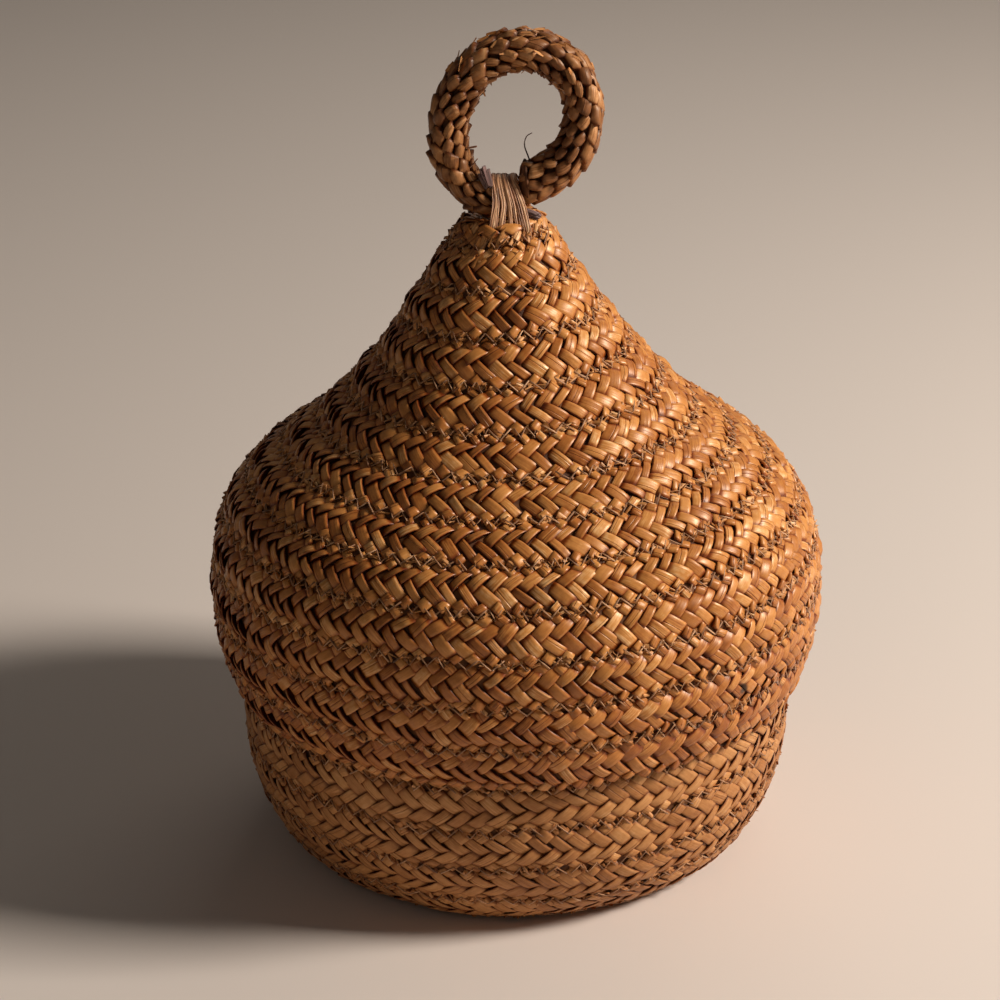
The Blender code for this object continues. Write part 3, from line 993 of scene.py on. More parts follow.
def new_tree(name: str, **sockets: Sequence[str]) -> tuple[Tree, dict[str, Socket]]:
    """Makes a Geometry Nodes tree with named inputs.

    Args:
        name: of the tree.
        sockets: by kind, names of the inputs after the geometry.

    Returns:
        The tree, and its inputs by name.
    """
    tree = bpy.data.node_groups.new(name, "GeometryNodeTree")
    for kind, labels in ({"Geometry": ("Geometry",)} | sockets).items():
        for label in labels:
            tree.interface.new_socket(name=label, in_out="INPUT", socket_type="NodeSocket" + kind)
    tree.interface.new_socket(name="Geometry", in_out="OUTPUT", socket_type="NodeSocketGeometry")
    source = tree.nodes.new("NodeGroupInput")
    return tree, {output.name: output for output in source.outputs if output.name}


def read(tree: Tree, name: str, kind: str = "FLOAT") -> Socket:
    """Reads a named attribute in a tree."""
    return add_node(tree, "GeometryNodeInputNamedAttribute", {"data_type": kind}, {0: name}).outputs[0]


def wandered(tree: Tree, place: Socket, values: dict) -> Socket:
    """Adds the slow unevenness of hand sewing to a place, mostly up and down.

    Args:
        tree: a Geometry Nodes tree.
        place: the position.
        values: the tree's inputs by name, with wander, the amount, and lowest, the lowest height.

    Returns:
        The moved position.
    """
    drawn = noise(tree, place, WANDER_SPACING, 1.0)[1]
    middle = add_node(tree, "ShaderNodeVectorMath", {"operation": "SUBTRACT"},
                      {0: drawn, 1: (0.5, 0.5, 0.5)}).outputs[0]
    upright = add_node(tree, "ShaderNodeVectorMath", {"operation": "MULTIPLY"},
                       {0: middle, 1: WANDER_SHARES}).outputs[0]
    scaled = add_node(tree, "ShaderNodeVectorMath", {"operation": "SCALE"},
                      {0: upright, "Scale": values["wander"]}).outputs[0]
    moved = add_node(tree, "ShaderNodeVectorMath", {"operation": "ADD"}, {0: place, 1: scaled}).outputs[0]
    found = parts_of(tree, moved) | {"lowest": values["lowest"]}
    return combined(tree, found["x"], found["y"], work_out(tree, "z = max(z, lowest)", found))


def repeated(tree: Tree, values: dict[str, object]) -> Socket:
    """Repeats the unit at each station and works out how each strand differs from its neighbours.

    Args:
        tree: a Geometry Nodes tree.
        values: its inputs by name. It gets the station's number and the fields x, y and z.

    Returns:
        The strands as one mesh that has their tones.
    """
    unit = add_node(tree, "GeometryNodeObjectInfo", None, {"Object": values["unit"]}).outputs["Geometry"]
    copies = add_node(tree, "GeometryNodeInstanceOnPoints", None,
                      {"Points": values["Geometry"], "Instance": unit}).outputs[0]
    strands = add_node(tree, "GeometryNodeRealizeInstances", None, {0: copies}).outputs[0]
    values |= parts_of(tree, add_node(tree, "GeometryNodeInputPosition").outputs[0])
    values |= parts_of(tree, read(tree, "across", "FLOAT_VECTOR"), ("across_x", "across_y", "edge"))
    values |= {"number": read(tree, "unit", "INT"), "part": read(tree, "part", "INT"),
               "end": read(tree, "along")}
    strand = work_out(tree, "strand = number * 16 + part", values)
    for turn, names in enumerate((("narrow", "slide", "plump"), ("cant", "shade", "skew"))):
        seed = work_out(tree, f"strand_seed = seed + {turn}", values)
        drawn = add_node(tree, "FunctionNodeRandomValue", {"data_type": "FLOAT_VECTOR"},
                         {0: (-1.0, -1.0, -1.0), 1: (1.0, 1.0, 1.0), 7: strand, 8: seed}).outputs[0]
        values |= parts_of(tree, drawn, names)
    tone = work_out(tree, """
        bend = edge * (narrow - 0.3) + end * skew
        x = x + loose * (across_x * bend + 0.18 * slide)
        y = y + loose * across_y * bend
        z = (z * puff * (1 + 0.9 * loose * plump)
             + loose * (0.0011 * edge * cant + 0.0013 * end * slide))
        tone = 0.5 + 0.5 * shade
    """, values)
    return add_node(tree, "GeometryNodeStoreNamedAttribute", {"data_type": "FLOAT", "domain": "POINT"},
                    {0: strands, 2: "tone", 3: tone}).outputs[0]


def walk(tree: Tree, line: Socket, distance: Socket) -> dict[str, Socket]:
    """Walks along a helper line.

    Args:
        tree: a Geometry Nodes tree.
        line: the line object.
        distance: from the line's start.

    Returns:
        The place there as at_x, at_y and at_z, and the direction as way_x, way_y and way_z.
    """
    curve = add_node(tree, "GeometryNodeObjectInfo", None, {"Object": line}).outputs["Geometry"]
    found = add_node(tree, "GeometryNodeSampleCurve", {"mode": "LENGTH"},
                     {"Curves": curve, "Length": distance}).outputs
    return (parts_of(tree, found["Position"], ("at_x", "at_y", "at_z"))
            | parts_of(tree, found["Tangent"], ("way_x", "way_y", "way_z")))


def end_tree(tree: Tree, geometry: Socket, place: Socket, material: Socket) -> None:
    """Moves a tree's points to their places, gives them their material and ends the tree.

    Args:
        tree: a Geometry Nodes tree.
        geometry: the mesh.
        place: where each point goes.
        material: its finish.
    """
    moved = add_node(tree, "GeometryNodeSetPosition", None, {0: geometry, 2: place}).outputs[0]
    whole = add_node(tree, "GeometryNodeRealizeInstances", None, {0: moved}).outputs[0]
    dressed = add_node(tree, "GeometryNodeSetMaterial", None, {0: whole, 2: material}).outputs[0]
    add_node(tree, "NodeGroupOutput", None, {0: dressed})


def spiral_tree() -> Tree:
    """Builds the tree that winds units of plait or sewing round a turned outline.

    Returns:
        The tree.
    """
    tree, values = new_tree(
        "units wound in a sewn spiral", Object=("unit", "outline"), Material=("material",),
        Int=("seed",), Float=("first_seam", "row", "length", "turn", "side", "level", "valley",
                              "last_valley", "puff", "loose", "lean", "lean_from", "lean_to", "lowest",
                              "wander"),
    )
    strands = repeated(tree, values)
    values |= {"start": read(tree, "angle"), "span": read(tree, "span"), "full_turn": TURN,
               "run_out_from": RUN_OUT_FROM, "run_out_to": RUN_OUT_TO, "power": VALLEY_POWER}
    work_out(tree, """
        angle = start + x * span
        seam = first_seam + row * angle / full_turn
        near = max(0, seam)
        far = max(0, seam + row)
        last_full = length - run_out_from
        first_spent = length - run_out_to
    """, values)
    for edge in ("near", "far"):
        values["spent"] = eased(tree, values[edge], values["last_full"], values["first_spent"])
        work_out(tree, f"{edge} = {edge} + (length - {edge}) * spent", values)
    distance = work_out(tree, "distance = near + y * (far - near)", values)
    values |= walk(tree, values["outline"], distance)
    work_out(tree, """
        depth = valley + (last_valley - valley) * distance / length
        offset = level + z - depth * abs(2 * fract(y) - 1) ** power
        radius = at_x - side * offset * way_z
        height = at_z + side * offset * way_x
        share = min(1, max(0, (height - lean_from) / (lean_to - lean_from)))
        azimuth = turn * angle
        x = radius * sin(azimuth) + lean * share * share * (3 - 2 * share)
        y = -radius * cos(azimuth)
    """, values)
    place = combined(tree, values["x"], values["y"], values["height"])
    end_tree(tree, strands, wandered(tree, place, values), values["material"])
    return tree


def braid_tree() -> Tree:
    """Builds the tree that lays units of braid round a line in the XZ plane.

    Returns:
        The tree.
    """
    tree, values = new_tree(
        "units laid round a bent limb", Object=("unit", "limb"), Material=("material",),
        Int=("seed",), Float=("start", "step", "puff", "loose", "level", "stop", "cap", "slant"),
    )
    strands = repeated(tree, values)
    values |= {"limb_radius": read(tree, "radius"), "full_turn": TURN}
    distance = work_out(tree, "distance = start + step * (number + x)", values)
    values |= walk(tree, values["limb"], distance)
    work_out(tree, """
        turn = full_turn * y
        rest = min(1, max(0.04, (stop - slant * cos(turn) - distance) / cap))
        radius = (limb_radius + level + z) * (rest * (2 - rest)) ** 0.5
        x = at_x + radius * cos(turn) * way_z
        y = at_y + radius * sin(turn)
        z = at_z - radius * cos(turn) * way_x
    """, values)
    end_tree(tree, strands, combined(tree, values["x"], values["y"], values["z"]), values["material"])
    return tree


def wander_tree() -> Tree:
    """Builds the tree that gives the plait's dark middle the same unevenness as its strands.

    Returns:
        The tree.
    """
    tree, values = new_tree("uneven middle", Material=("material",), Float=("wander", "lowest"))
    place = add_node(tree, "GeometryNodeInputPosition").outputs[0]
    end_tree(tree, values["Geometry"], wandered(tree, place, values), values["material"])
    return tree


def grown(name: str, source: Mesh, tree: Tree, inputs: dict[str, object]) -> Thing:
    """Runs a tree on a mesh and keeps the result as a plain mesh at the origin.

    Args:
        name: of the piece.
        source: the mesh or bare points that the tree starts from.
        tree: the Geometry Nodes tree.
        inputs: its inputs by name.

    Returns:
        The piece.
    """
    carrier = add_object(name + "_carrier", source)
    modifier = carrier.modifiers.new("grow", "NODES")
    modifier.node_group = tree
    for item in tree.interface.items_tree:
        if item.item_type == "SOCKET" and item.in_out == "INPUT" and item.name in inputs:
            modifier[item.identifier] = inputs[item.name]
    graph = bpy.context.evaluated_depsgraph_get()
    mesh = bpy.data.meshes.new_from_object(carrier.evaluated_get(graph), preserve_all_data_layers=True,
                                           depsgraph=graph)
    bpy.data.objects.remove(carrier)
    bpy.data.meshes.remove(source)
    mesh.name = name
    return add_object(name, mesh)


def station_mesh(values: dict[str, np.ndarray]) -> Mesh:
    """Makes bare points at the origin that carry the stations of a tree as attributes.

    Args:
        values: whole or real numbers by attribute name, one for each station.

    Returns:
        The mesh.
    """
    mesh = bpy.data.meshes.new("stations")
    mesh.vertices.add(len(next(iter(values.values()))))
    for key, numbers in values.items():
        kind = "INT" if numbers.dtype.kind == "i" else "FLOAT"
        mesh.attributes.new(key, kind, "POINT").data.foreach_set("value", numbers)
    return mesh


# What the sub-assemblies share


def settle(piece: Thing, body: str, slot: str, *nodes: str) -> Thing:
    """Tells the frame what a piece rides on and stands for.

    Args:
        piece: the object.
        body: the moving body that it rides on.
        slot: not used.
        nodes: the solids that it stands for, if any.

    Returns:
        The piece.
    """
    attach(piece, body)
    if nodes:
        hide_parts(*nodes)
    return piece


@dataclass(frozen=True)
class Workshop:
    """What the sub-assemblies share.

    Attributes:
        spiral: the tree that winds units round a wall.
        braid: the tree that lays units round the ring.
        uneven: the tree for a wall's dark middle.
        finishes: materials by name.
    """

    spiral: Tree
    braid: Tree
    uneven: Tree
    finishes: dict[str, Material]


# The plaited walls


@dataclass
class PlaitedWall:
    """One long flat plait, wound in a spiral on a turned outline and sewn edge to edge.

    Attributes:
        name: the moving body that it belongs to, and the first word of its pieces' names.
        nodes: the solids that it stands for.
        thread_node: the solid that its sewing stands for.
        outline: its outside.
        first_seam: distance of a seam from the outline's start, at the front.
        turn: 1 where it winds counterclockwise seen from above, and -1 where clockwise.
        strand_step: from one strand to the next along the row.
        stitch_step: length of a zigzag of the sewing.
        valleys: how deep the seams lie at the outline's start and at its end.
        cants: how much one edge of a strand is lifted, for the strands of the two directions.
        split_rows: where the outer layer is parted into pieces, in rows from the first seam.
        puff: how plump the strands are.
        lowest: height that nothing goes under.
        seed: of its chance numbers.
        start_row: distance of the first row's far edge where the winding starts.
        row: width of a row.
        least_row: width at which the last row ends.
        stitch_margin: bare stretch at both ends of the sewing.
        stitch_jitter: how much the zigzags differ in length, as a share.
        outer_level: height of the outer plait's middle over the outline.
        lining_level: that of the inner plait's middle.
        lining_valley: how deep the seams lie inside.
        sewing_level: height of the sewing outside.
        inner_sewing_level: that of the sewing inside.
        caught: that of the ends that are caught in the seams.
        caught_share: share of the zigzags that have such ends.
        split_level: height of the loose split strands.
        tight: width of a strand, as a share of the room that it has.
        finish: of the strands outside.
        frayed_rows: down to which row split strands lie loose on the plait, if any do.
        frayed_lines: where they lie, in rows from each seam.
        wander: how far the sewing strays.
        loose: how unevenly the strands lie.
        lean: how far the top leans to the left.
        lean_from: height where the lean starts.
        lean_to: height where it is full.
        heart_faces: depth and share of the valleys, for the dark middle's outer and inner face.
        heart_margin: bare stretch past its end.
        pole: radius under which one point stands for a ring of them.
        round_steps: points of the dark middle round the wall.
        row_steps: its levels in a row.
    """

    name: str
    nodes: tuple[str, ...]
    thread_node: str
    outline: Outline
    first_seam: float
    turn: int
    strand_step: float
    stitch_step: float
    valleys: tuple[float, float]
    cants: tuple[float, float]
    split_rows: tuple[float, ...]
    puff: float
    lowest: float
    seed: int
    start_row: float = 5 * MM
    row: float = 12 * MM
    least_row: float = 0.8 * MM
    stitch_margin: float = 2.0 * MM
    stitch_jitter: float = 0.35
    outer_level: float = -0.8 * MM
    lining_level: float = -1.58 * MM
    lining_valley: float = -0.1 * MM
    sewing_level: float = -0.12 * MM
    inner_sewing_level: float = -1.95 * MM
    caught: float = -0.75 * MM
    caught_share: float = 0.85
    split_level: float = -0.1 * MM
    tight: float = 1.05
    finish: str = "straw"
    frayed_rows: float | None = None
    frayed_lines: tuple[float, ...] = (-0.42, -0.1, 0.3)
    wander: float = 1.2 * MM
    loose: float = 0.2
    lean: float = 0.0
    lean_from: float = 0.0
    lean_to: float = 1.0
    heart_faces: tuple[tuple[float, float], ...] = ((1.05 * MM, 0.42), (1.3 * MM, 0.27))
    heart_margin: float = 0.5 * MM
    pole: float = 0.3 * MM
    round_steps: int = 144
    row_steps: int = 11

    def edge(self, angle: float, rows: float = 0.0) -> float:
        """Finds a row's edge, as the tree works it out.

        Args:
            angle: of the winding.
            rows: 0 for the near edge and 1 for the far one.

        Returns:
            Its distance along the outline.
        """
        length = self.outline.length
        plain = max(0.0, self.first_seam + self.row * (angle / TURN + rows))
        return plain + (length - plain) * smooth_step(plain, length - RUN_OUT_FROM, length - RUN_OUT_TO)

    def stations(self, step: float, seam: bool, jitter: float = 0.0) -> dict[str, np.ndarray]:
        """Spaces units along the plait or its seam.

        Args:
            step: length of a unit.
            seam: True for the sewing, which keeps clear of both ends.
            jitter: how much the lengths differ, as a share.

        Returns:
            angle, span and unit of each.
        """
        chance = np.random.default_rng(self.seed)
        length = self.outline.length
        angle = TURN * (self.start_row - self.first_seam - self.row) / self.row
        found = []
        while True:
            low, high = self.edge(angle), self.edge(angle, 1.0)
            middle = low if seam else (low + high) / 2
            if seam and middle > length - self.stitch_margin or not seam and high - low < self.least_row:
                break
            radius = float(np.interp(middle, self.outline.walked, self.outline.points[:, 0]))
            span = step * (1 + jitter * chance.uniform(-1, 1)) / max(radius, 3 * MM)
            if not seam or middle > self.stitch_margin:
                found.append((angle, span))
            angle += span
        return {
            "angle": np.array([a for a, _ in found]), "span": np.array([s for _, s in found]),
            "unit": np.arange(len(found), dtype=np.int32),
        }

    def grow(self, shop: Workshop, line: Thing, label: str, unit: Thing, stations: dict[str, np.ndarray],
             finish: str, slot: str = "straw_plait", nodes: tuple[str, ...] = (),
             **changed: object) -> Thing:
        """Makes one layer of strands, sewing or ends as a piece.

        Args:
            shop: trees and finishes.
            line: the outline as a line object.
            label: the rest of the piece's name.
            unit: the helper object that is repeated.
            stations: where it goes.
            finish: the piece's material by name.
            slot: its material slot.
            nodes: the solids that it stands for.
            changed: inputs of the tree that differ from the wall's own.

        Returns:
            The piece.
        """
        piece = grown(f"{self.name}_{label}", station_mesh(stations), shop.spiral, {
            "unit": unit, "outline": line, "material": shop.finishes[finish], "seed": self.seed,
            "first_seam": self.first_seam, "row": self.row, "length": self.outline.length,
            "turn": float(self.turn), "side": float(self.outline.side), "level": 0.0,
            "valley": self.valleys[0], "last_valley": self.valleys[1], "puff": 1.0,
            "loose": self.loose, "lean": -self.lean, "lean_from": self.lean_from,
            "lean_to": self.lean_to, "lowest": self.lowest, "wander": self.wander, **changed,
        })
        return settle(piece, self.name, slot, *nodes)

    def heart_mesh(self) -> Mesh:
        """Makes the thin dark middle of the wall, painted shade that closes the gaps between strands.

        Returns:
            The mesh.
        """
        outline, count = self.outline, self.round_steps
        last = outline.length - self.heart_margin
        levels = np.linspace(0.0, last, int(last / self.row * self.row_steps))
        turns = np.arange(count) / count
        points, rings = [], []
        for (depth, dip), order in zip(self.heart_faces, (levels, levels[::-1])):
            for level in order:
                radius, height, out_r, out_z = outline.place(level)
                share = ((level - self.first_seam) / self.row - self.turn * turns) % 1.0
                deep = self.valleys[0] + (self.valleys[1] - self.valleys[0]) * level / outline.length
                offset = -depth - dip * deep * np.abs(2 * share - 1) ** VALLEY_POWER
                shift = -self.lean * smooth_step(height, self.lean_from, self.lean_to)
                if radius < self.pole:
                    rings.append([len(points)] * count)
                    points.append((shift, 0.0, height + out_z * float(offset.mean())))
                    continue
                rings.append([len(points) + k for k in range(count)])
                reach = radius + out_r * offset
                points += zip(reach * np.sin(TURN * turns) + shift, -reach * np.cos(TURN * turns),
                              height + out_z * offset)
        faces = []
        for lower, upper in zip(rings, rings[1:] + rings[:1]):
            for k in range(count):
                j = (k + 1) % count
                corners = [lower[k], upper[k], upper[j], lower[j]]
                kept = [c for i, c in enumerate(corners) if c != corners[i - 1]]
                if len(kept) > 2:
                    faces.append(kept if outline.side > 0 else kept[::-1])
        mesh = bpy.data.meshes.new(self.name + "_heart")
        mesh.from_pydata(points, [], faces)
        mesh.shade_smooth()
        return mesh

    def build(self, shop: Workshop) -> list[Thing]:
        """Makes the wall's pieces and dresses them.

        Args:
            shop: trees and finishes.

        Returns:
            The pieces.
        """
        line = self.outline.curve(self.name + "_walk")
        pieces = self.lay_strands(shop, line)
        heart = grown(self.name + "_heart", self.heart_mesh(), shop.uneven,
                      {"wander": self.wander, "lowest": self.lowest, "material": shop.finishes["heart"]})
        pieces.append(settle(heart, self.name, "straw_plait"))
        pieces += self.sew(shop, line)
        if self.frayed_rows is not None:
            pieces += self.fray(shop, line)
        bpy.data.objects.remove(line)
        return pieces

    def lay_strands(self, shop: Workshop, line: Thing) -> list[Thing]:
        """Lays the outer layer, in pieces, and the lining.

        Args:
            shop: trees and finishes.
            line: the outline as a line object.

        Returns:
            The pieces.
        """
        outer = plait_unit(self.name + "_outer_unit", Layer.OUTER, self.cants, self.tight)
        inner = plait_unit(self.name + "_inner_unit", Layer.INNER)
        stations = self.stations(self.strand_step, seam=False)
        rows = stations["angle"] / TURN
        marks = (-math.inf, *self.split_rows, math.inf)
        pieces = []
        for number, (low, high) in enumerate(zip(marks[:-1], marks[1:]), 1):
            here = chosen(stations, (rows >= low) & (rows < high))
            pieces.append(self.grow(shop, line, f"plait_{number}", outer, here, self.finish,
                                    nodes=self.nodes, level=self.outer_level, puff=self.puff))
        pieces.append(self.grow(shop, line, "lining", inner, stations, "lining", level=self.lining_level,
                                valley=self.lining_valley, last_valley=self.lining_valley,
                                seed=self.seed + 7))
        for helper in (outer, inner):
            bpy.data.objects.remove(helper)
        return pieces

    def sew(self, shop: Workshop, line: Thing) -> list[Thing]:
        """Adds the zigzag thread on both sides and the ends of raffia caught in it outside.

        Args:
            shop: trees and finishes.
            line: the outline as a line object.

        Returns:
            The pieces.
        """
        seams = self.stations(self.stitch_step, seam=True, jitter=self.stitch_jitter)
        caught = np.random.default_rng(self.seed + 1).random(len(seams["unit"])) < self.caught_share
        outer = stitch_unit(self.name + "_outer_stitch", Layer.OUTER, self.stitch_step, self.row)
        inner = stitch_unit(self.name + "_inner_stitch", Layer.INNER, self.stitch_step, self.row)
        bits = bits_unit(self.name + "_bits", self.stitch_step, self.row, self.seed)
        half = {"valley": self.valleys[0] / 2, "last_valley": self.valleys[1] / 2}
        seed = self.seed + 3
        pieces = [
            self.grow(shop, line, "sewing", outer, seams, "twine", "seam_thread", (self.thread_node,),
                      level=self.sewing_level, loose=0.7, seed=seed, **half),
            self.grow(shop, line, "caught_ends", bits, chosen(seams, caught), "split_straw",
                      "seam_thread", level=self.caught, loose=0.6, seed=seed, **half),
            self.grow(shop, line, "inner_sewing", inner, seams, "twine", "seam_thread",
                      level=self.inner_sewing_level, loose=0.4, seed=seed, valley=0.0,
                      last_valley=0.0),
        ]
        for helper in (outer, inner, bits):
            bpy.data.objects.remove(helper)
        return pieces

    def fray(self, shop: Workshop, line: Thing) -> list[Thing]:
        """Lays loose split strands on the plait of the crown, where it is worn.

        Args:
            shop: trees and finishes.
            line: the outline as a line object.

        Returns:
            The pieces.
        """
        unit = bits_unit(self.name + "_split_unit", self.stitch_step, self.row, self.seed + 5,
                         count=3, length=1.7)
        seams = self.stations(self.stitch_step, seam=True, jitter=self.stitch_jitter)
        worn = chosen(seams, seams["angle"] < TURN * self.frayed_rows)
        pieces = [
            self.grow(shop, line, f"split_{number}", unit, worn, "split_straw", level=self.split_level,
                      loose=0.6, seed=self.seed + number, first_seam=self.first_seam + rows * self.row)
            for number, rows in enumerate(self.frayed_lines, 1)
        ]
        bpy.data.objects.remove(unit)
        return pieces


def chosen(stations: dict[str, np.ndarray], which: np.ndarray) -> dict[str, np.ndarray]:
    """Picks some of the stations."""
    return {key: numbers[which] for key, numbers in stations.items()}


# The handle


def tube_piece(name: str, path: np.ndarray, radii: np.ndarray, sides: int, material: Material,
               flat: float = 1.0, wide: Sequence[float] = (0.0, 1.0, 0.0), tone: float = 0.5) -> Thing:
    """Makes a closed tube or ribbon along a path.

    Args:
        name: of the piece.
        path: its middle line.
        radii: half its width at each point.
        sides: of its section.
        material: its finish.
        flat: thickness as a share of width.
        wide: the direction that its width keeps to.
        tone: of its strand.

    Returns:
        The piece.
    """
    shape = Shape()
    shape.add_tube(path, radii, sides,
                   lambda tangent: np.array(wide, float) - np.dot(wide, tangent) * tangent, flat, unit=MM)
    piece = shape.mesh_object(name)
    piece.data.attributes.new("tone", "FLOAT", "POINT").data.foreach_set(
        "value", [tone] * len(piece.data.vertices))
    piece.data.materials.append(material)
    return piece


def curved(points: Sequence[Sequence[float]], count: int) -> np.ndarray:
    """Draws a smooth line through points.

    Args:
        points: three or more, in metres.
        count: of the line's points.

    Returns:
        The line.
    """
    known = np.array(points, float)
    padded = np.vstack([2 * known[0] - known[1], known, 2 * known[-1] - known[-2]])
    found = []
    for place in np.linspace(0, len(known) - 1 - 1e-9, count):
        i, t = int(place), place - int(place)
        a, b, c, d = padded[i : i + 4]
        found.append(0.5 * (2 * b + (c - a) * t + (2 * a - 5 * b + 4 * c - d) * t**2
                            + (3 * b - a - 3 * c + d) * t**3))
    return np.array(found)


@dataclass
class RingHandle:
    """The open ring of round braid.

    Its right end stops beside the lashing, tucked in round above and straight below. Angles run
    clockwise from below, in degrees. Sizes are those of the solids, and the braid is a little
    thicker near its right end, as the photograph shows it.

    Attributes:
        radius: of the ring, to the limb's middle.
        oval: how much longer than that its radius is at oval_angle, and how much shorter aside.
        limb_radius: of the braid.
        squeezed_radius: of the braid's left end, up to squeezed_to, under the lashing.
        swell: how much thicker the braid gets from swell_from to swell_to.
        left_drop: how much further out the limb lies near left_drop_angle, within left_spread.
        right_lift: how much further in it lies near right_lift_angle, within right_spread.
        centre_x: of the ring.
        axis_height: of the limb's lowest middle, which the ring tilts about.
        start_angle: of the left end.
        stop_angle: of the right end.
        step: of the braid.
        bands: columns of strands round it.
        first_gap: least bare stretch before the first step, in steps.
        last_gap: bare stretch after the last one, in steps.
        braid_level: height of the strands' middle over the limb's surface.
        fray_level: that of the frayed flakes.
        cap: length over which the right end rounds in.
        slant: how far its lower side reaches past its middle, and its upper side falls short.
        frayed_from: angle where the worn top starts.
        frayed_to: angle where it ends.
        frays: flakes round the braid in each step there.
        heart_depth: from the limb's radius to the dark middle.
        heart_gap: from the right end to that of the dark middle.
        tip: length of the dark fibres that cover the right end.
        tip_slant: how much further back they start on its upper side.
        tip_lift: how far they stand out over the braid's radius.
        tip_sink: how much deeper they start.
        tip_sides: how many lie round it.
        tip_steps: stretches of each.
        steps: stretches of the limb's middle line.
        seed: of its chance numbers.
    """

    radius: float = 17.05 * MM
    oval: float = 1.15 * MM
    oval_angle: float = 28.0
    limb_radius: float = 5.1 * MM
    squeezed_radius: float = 4.7 * MM
    squeezed_to: float = 28.0
    swell: float = 0.45 * MM
    swell_from: float = 285.0
    swell_to: float = 345.0
    left_drop: float = 2.56 * MM
    left_drop_angle: float = 22.0
    left_spread: float = 45.0
    right_lift: float = 1.25 * MM
    right_lift_angle: float = 349.0
    right_spread: float = 33.0
    centre_x: float = 0.25 * MM
    axis_height: float = 173.4 * MM
    start_angle: float = -2.5
    stop_angle: float = 358.0
    step: float = 4.2 * MM
    bands: int = 10
    first_gap: float = 0.5
    last_gap: float = 0.22
    braid_level: float = -0.95 * MM
    fray_level: float = -1.1 * MM
    cap: float = 3.2 * MM
    slant: float = 1.2 * MM
    frayed_from: float = 125.0
    frayed_to: float = 235.0
    frays: int = 10
    heart_depth: float = 1.9 * MM
    heart_gap: float = 1.0 * MM
    tip: float = 2.7 * MM
    tip_slant: float = 1.7 * MM
    tip_lift: float = 0.35 * MM
    tip_sink: float = 0.6 * MM
    tip_sides: int = 30
    tip_steps: int = 12
    steps: int = 240
    seed: int = 41

    def reach(self, angle: float) -> float:
        """Finds the limb's middle.

        Args:
            angle: in degrees.

        Returns:
            Its distance from the ring's centre.
        """

        def near(target: float, spread: float) -> float:
            """Falls from 1 at a target angle to almost 0 two spreads away."""
            return math.exp(-(((angle - target) / spread) ** 2))

        oval = self.oval * math.cos(math.radians(2 * (angle - self.oval_angle)))
        left = self.left_drop * near(self.left_drop_angle, self.left_spread)
        right = self.right_lift * near(self.right_lift_angle, self.right_spread)
        return self.radius + oval + left - right

    def limb_at(self, angle: float) -> float:
        """Radius of the braid at an angle."""
        blend = smooth_step(angle, self.squeezed_to, 2 * self.squeezed_to)
        return (self.squeezed_radius + (self.limb_radius - self.squeezed_radius) * blend
                + self.swell * smooth_step(angle, self.swell_from, self.swell_to))

    @cached_property
    def angles(self) -> np.ndarray:
        """Angles of the limb's middle line."""
        return np.linspace(self.start_angle, self.stop_angle, self.steps + 1)

    @cached_property
    def path(self) -> np.ndarray:
        """The limb's middle line."""
        lowest = max(self.reach(a) * math.cos(math.radians(a)) for a in range(0, 60))
        centre_z = self.axis_height + lowest
        return np.array([(self.centre_x - self.reach(a) * math.sin(math.radians(a)), 0.0,
                          centre_z - self.reach(a) * math.cos(math.radians(a))) for a in self.angles])

    @cached_property
    def walked(self) -> np.ndarray:
        """Distance of each point of the middle line from its start."""
        return np.concatenate([[0.0], np.cumsum(np.linalg.norm(np.diff(self.path, axis=0), axis=1))])

    def build(self, shop: Workshop) -> list[Thing]:
        """Makes the braid, its frayed top, its covered end and its dark middle.

        Args:
            shop: trees and finishes.

        Returns:
            The pieces.
        """
        line = line_object("ring_walk", self.path)
        unit = braid_unit("braid_unit", self.bands)
        fray = fray_unit("fray_unit", self.frays, self.step, TURN * self.limb_radius, self.seed)
        end = float(self.walked[-1])
        count = int(end / self.step - self.first_gap - self.last_gap)
        start = end - self.step * (count + self.last_gap)
        middles = start + self.step * (np.arange(count) + 0.5)
        angles = np.interp(middles, self.walked, self.angles)
        stations = {
            "unit": np.arange(count, dtype=np.int32),
            "radius": np.array([self.limb_at(float(a)) for a in angles]),
        }
        shared = {"limb": line, "start": start, "step": self.step, "puff": 1.0, "cap": self.cap,
                  "slant": self.slant}
        braid = grown("ring_braid", station_mesh(stations), shop.braid, {
            **shared, "unit": unit, "material": shop.finishes["braid"], "seed": self.seed, "loose": 0.3,
            "level": self.braid_level, "stop": end + 0.75 * self.slant,
        })
        pieces = [settle(braid, "ring", "straw_braid", "handle_ring")]
        stations["radius"] = np.full(count, self.limb_radius)
        high = (angles > self.frayed_from) & (angles < self.frayed_to)
        frays = grown("ring_frays", station_mesh(chosen(stations, high)), shop.braid, {
            **shared, "unit": fray, "material": shop.finishes["split_straw"], "seed": self.seed + 1,
            "loose": 0.5, "level": self.fray_level, "stop": end,
        })
        pieces.append(settle(frays, "ring", "straw_braid"))
        # The covered end and the dark middle take the painted-shade finish of the plait's heart.
        pieces += [self.cover_end(shop.finishes["heart"]), self.fill(shop.finishes["heart"])]
        for helper in (line, unit, fray):
            bpy.data.objects.remove(helper)
        return pieces

    def fill(self, material: Material) -> Thing:
        """Makes the dark middle, painted shade that closes the gaps between strands.

        Args:
            material: its finish.

        Returns:
            The piece.
        """
        rest = np.clip((float(self.walked[-1]) - self.heart_gap - self.walked) / self.cap, 0.0, 1.0)
        kept = rest > 0.01
        radii = np.array([self.limb_at(float(a)) - self.heart_depth for a in self.angles])
        radii = radii * np.sqrt(rest * (2 - rest))
        heart = tube_piece("ring_heart", self.path[kept], radii[kept], 20, material)
        return settle(heart, "ring", "straw_braid")

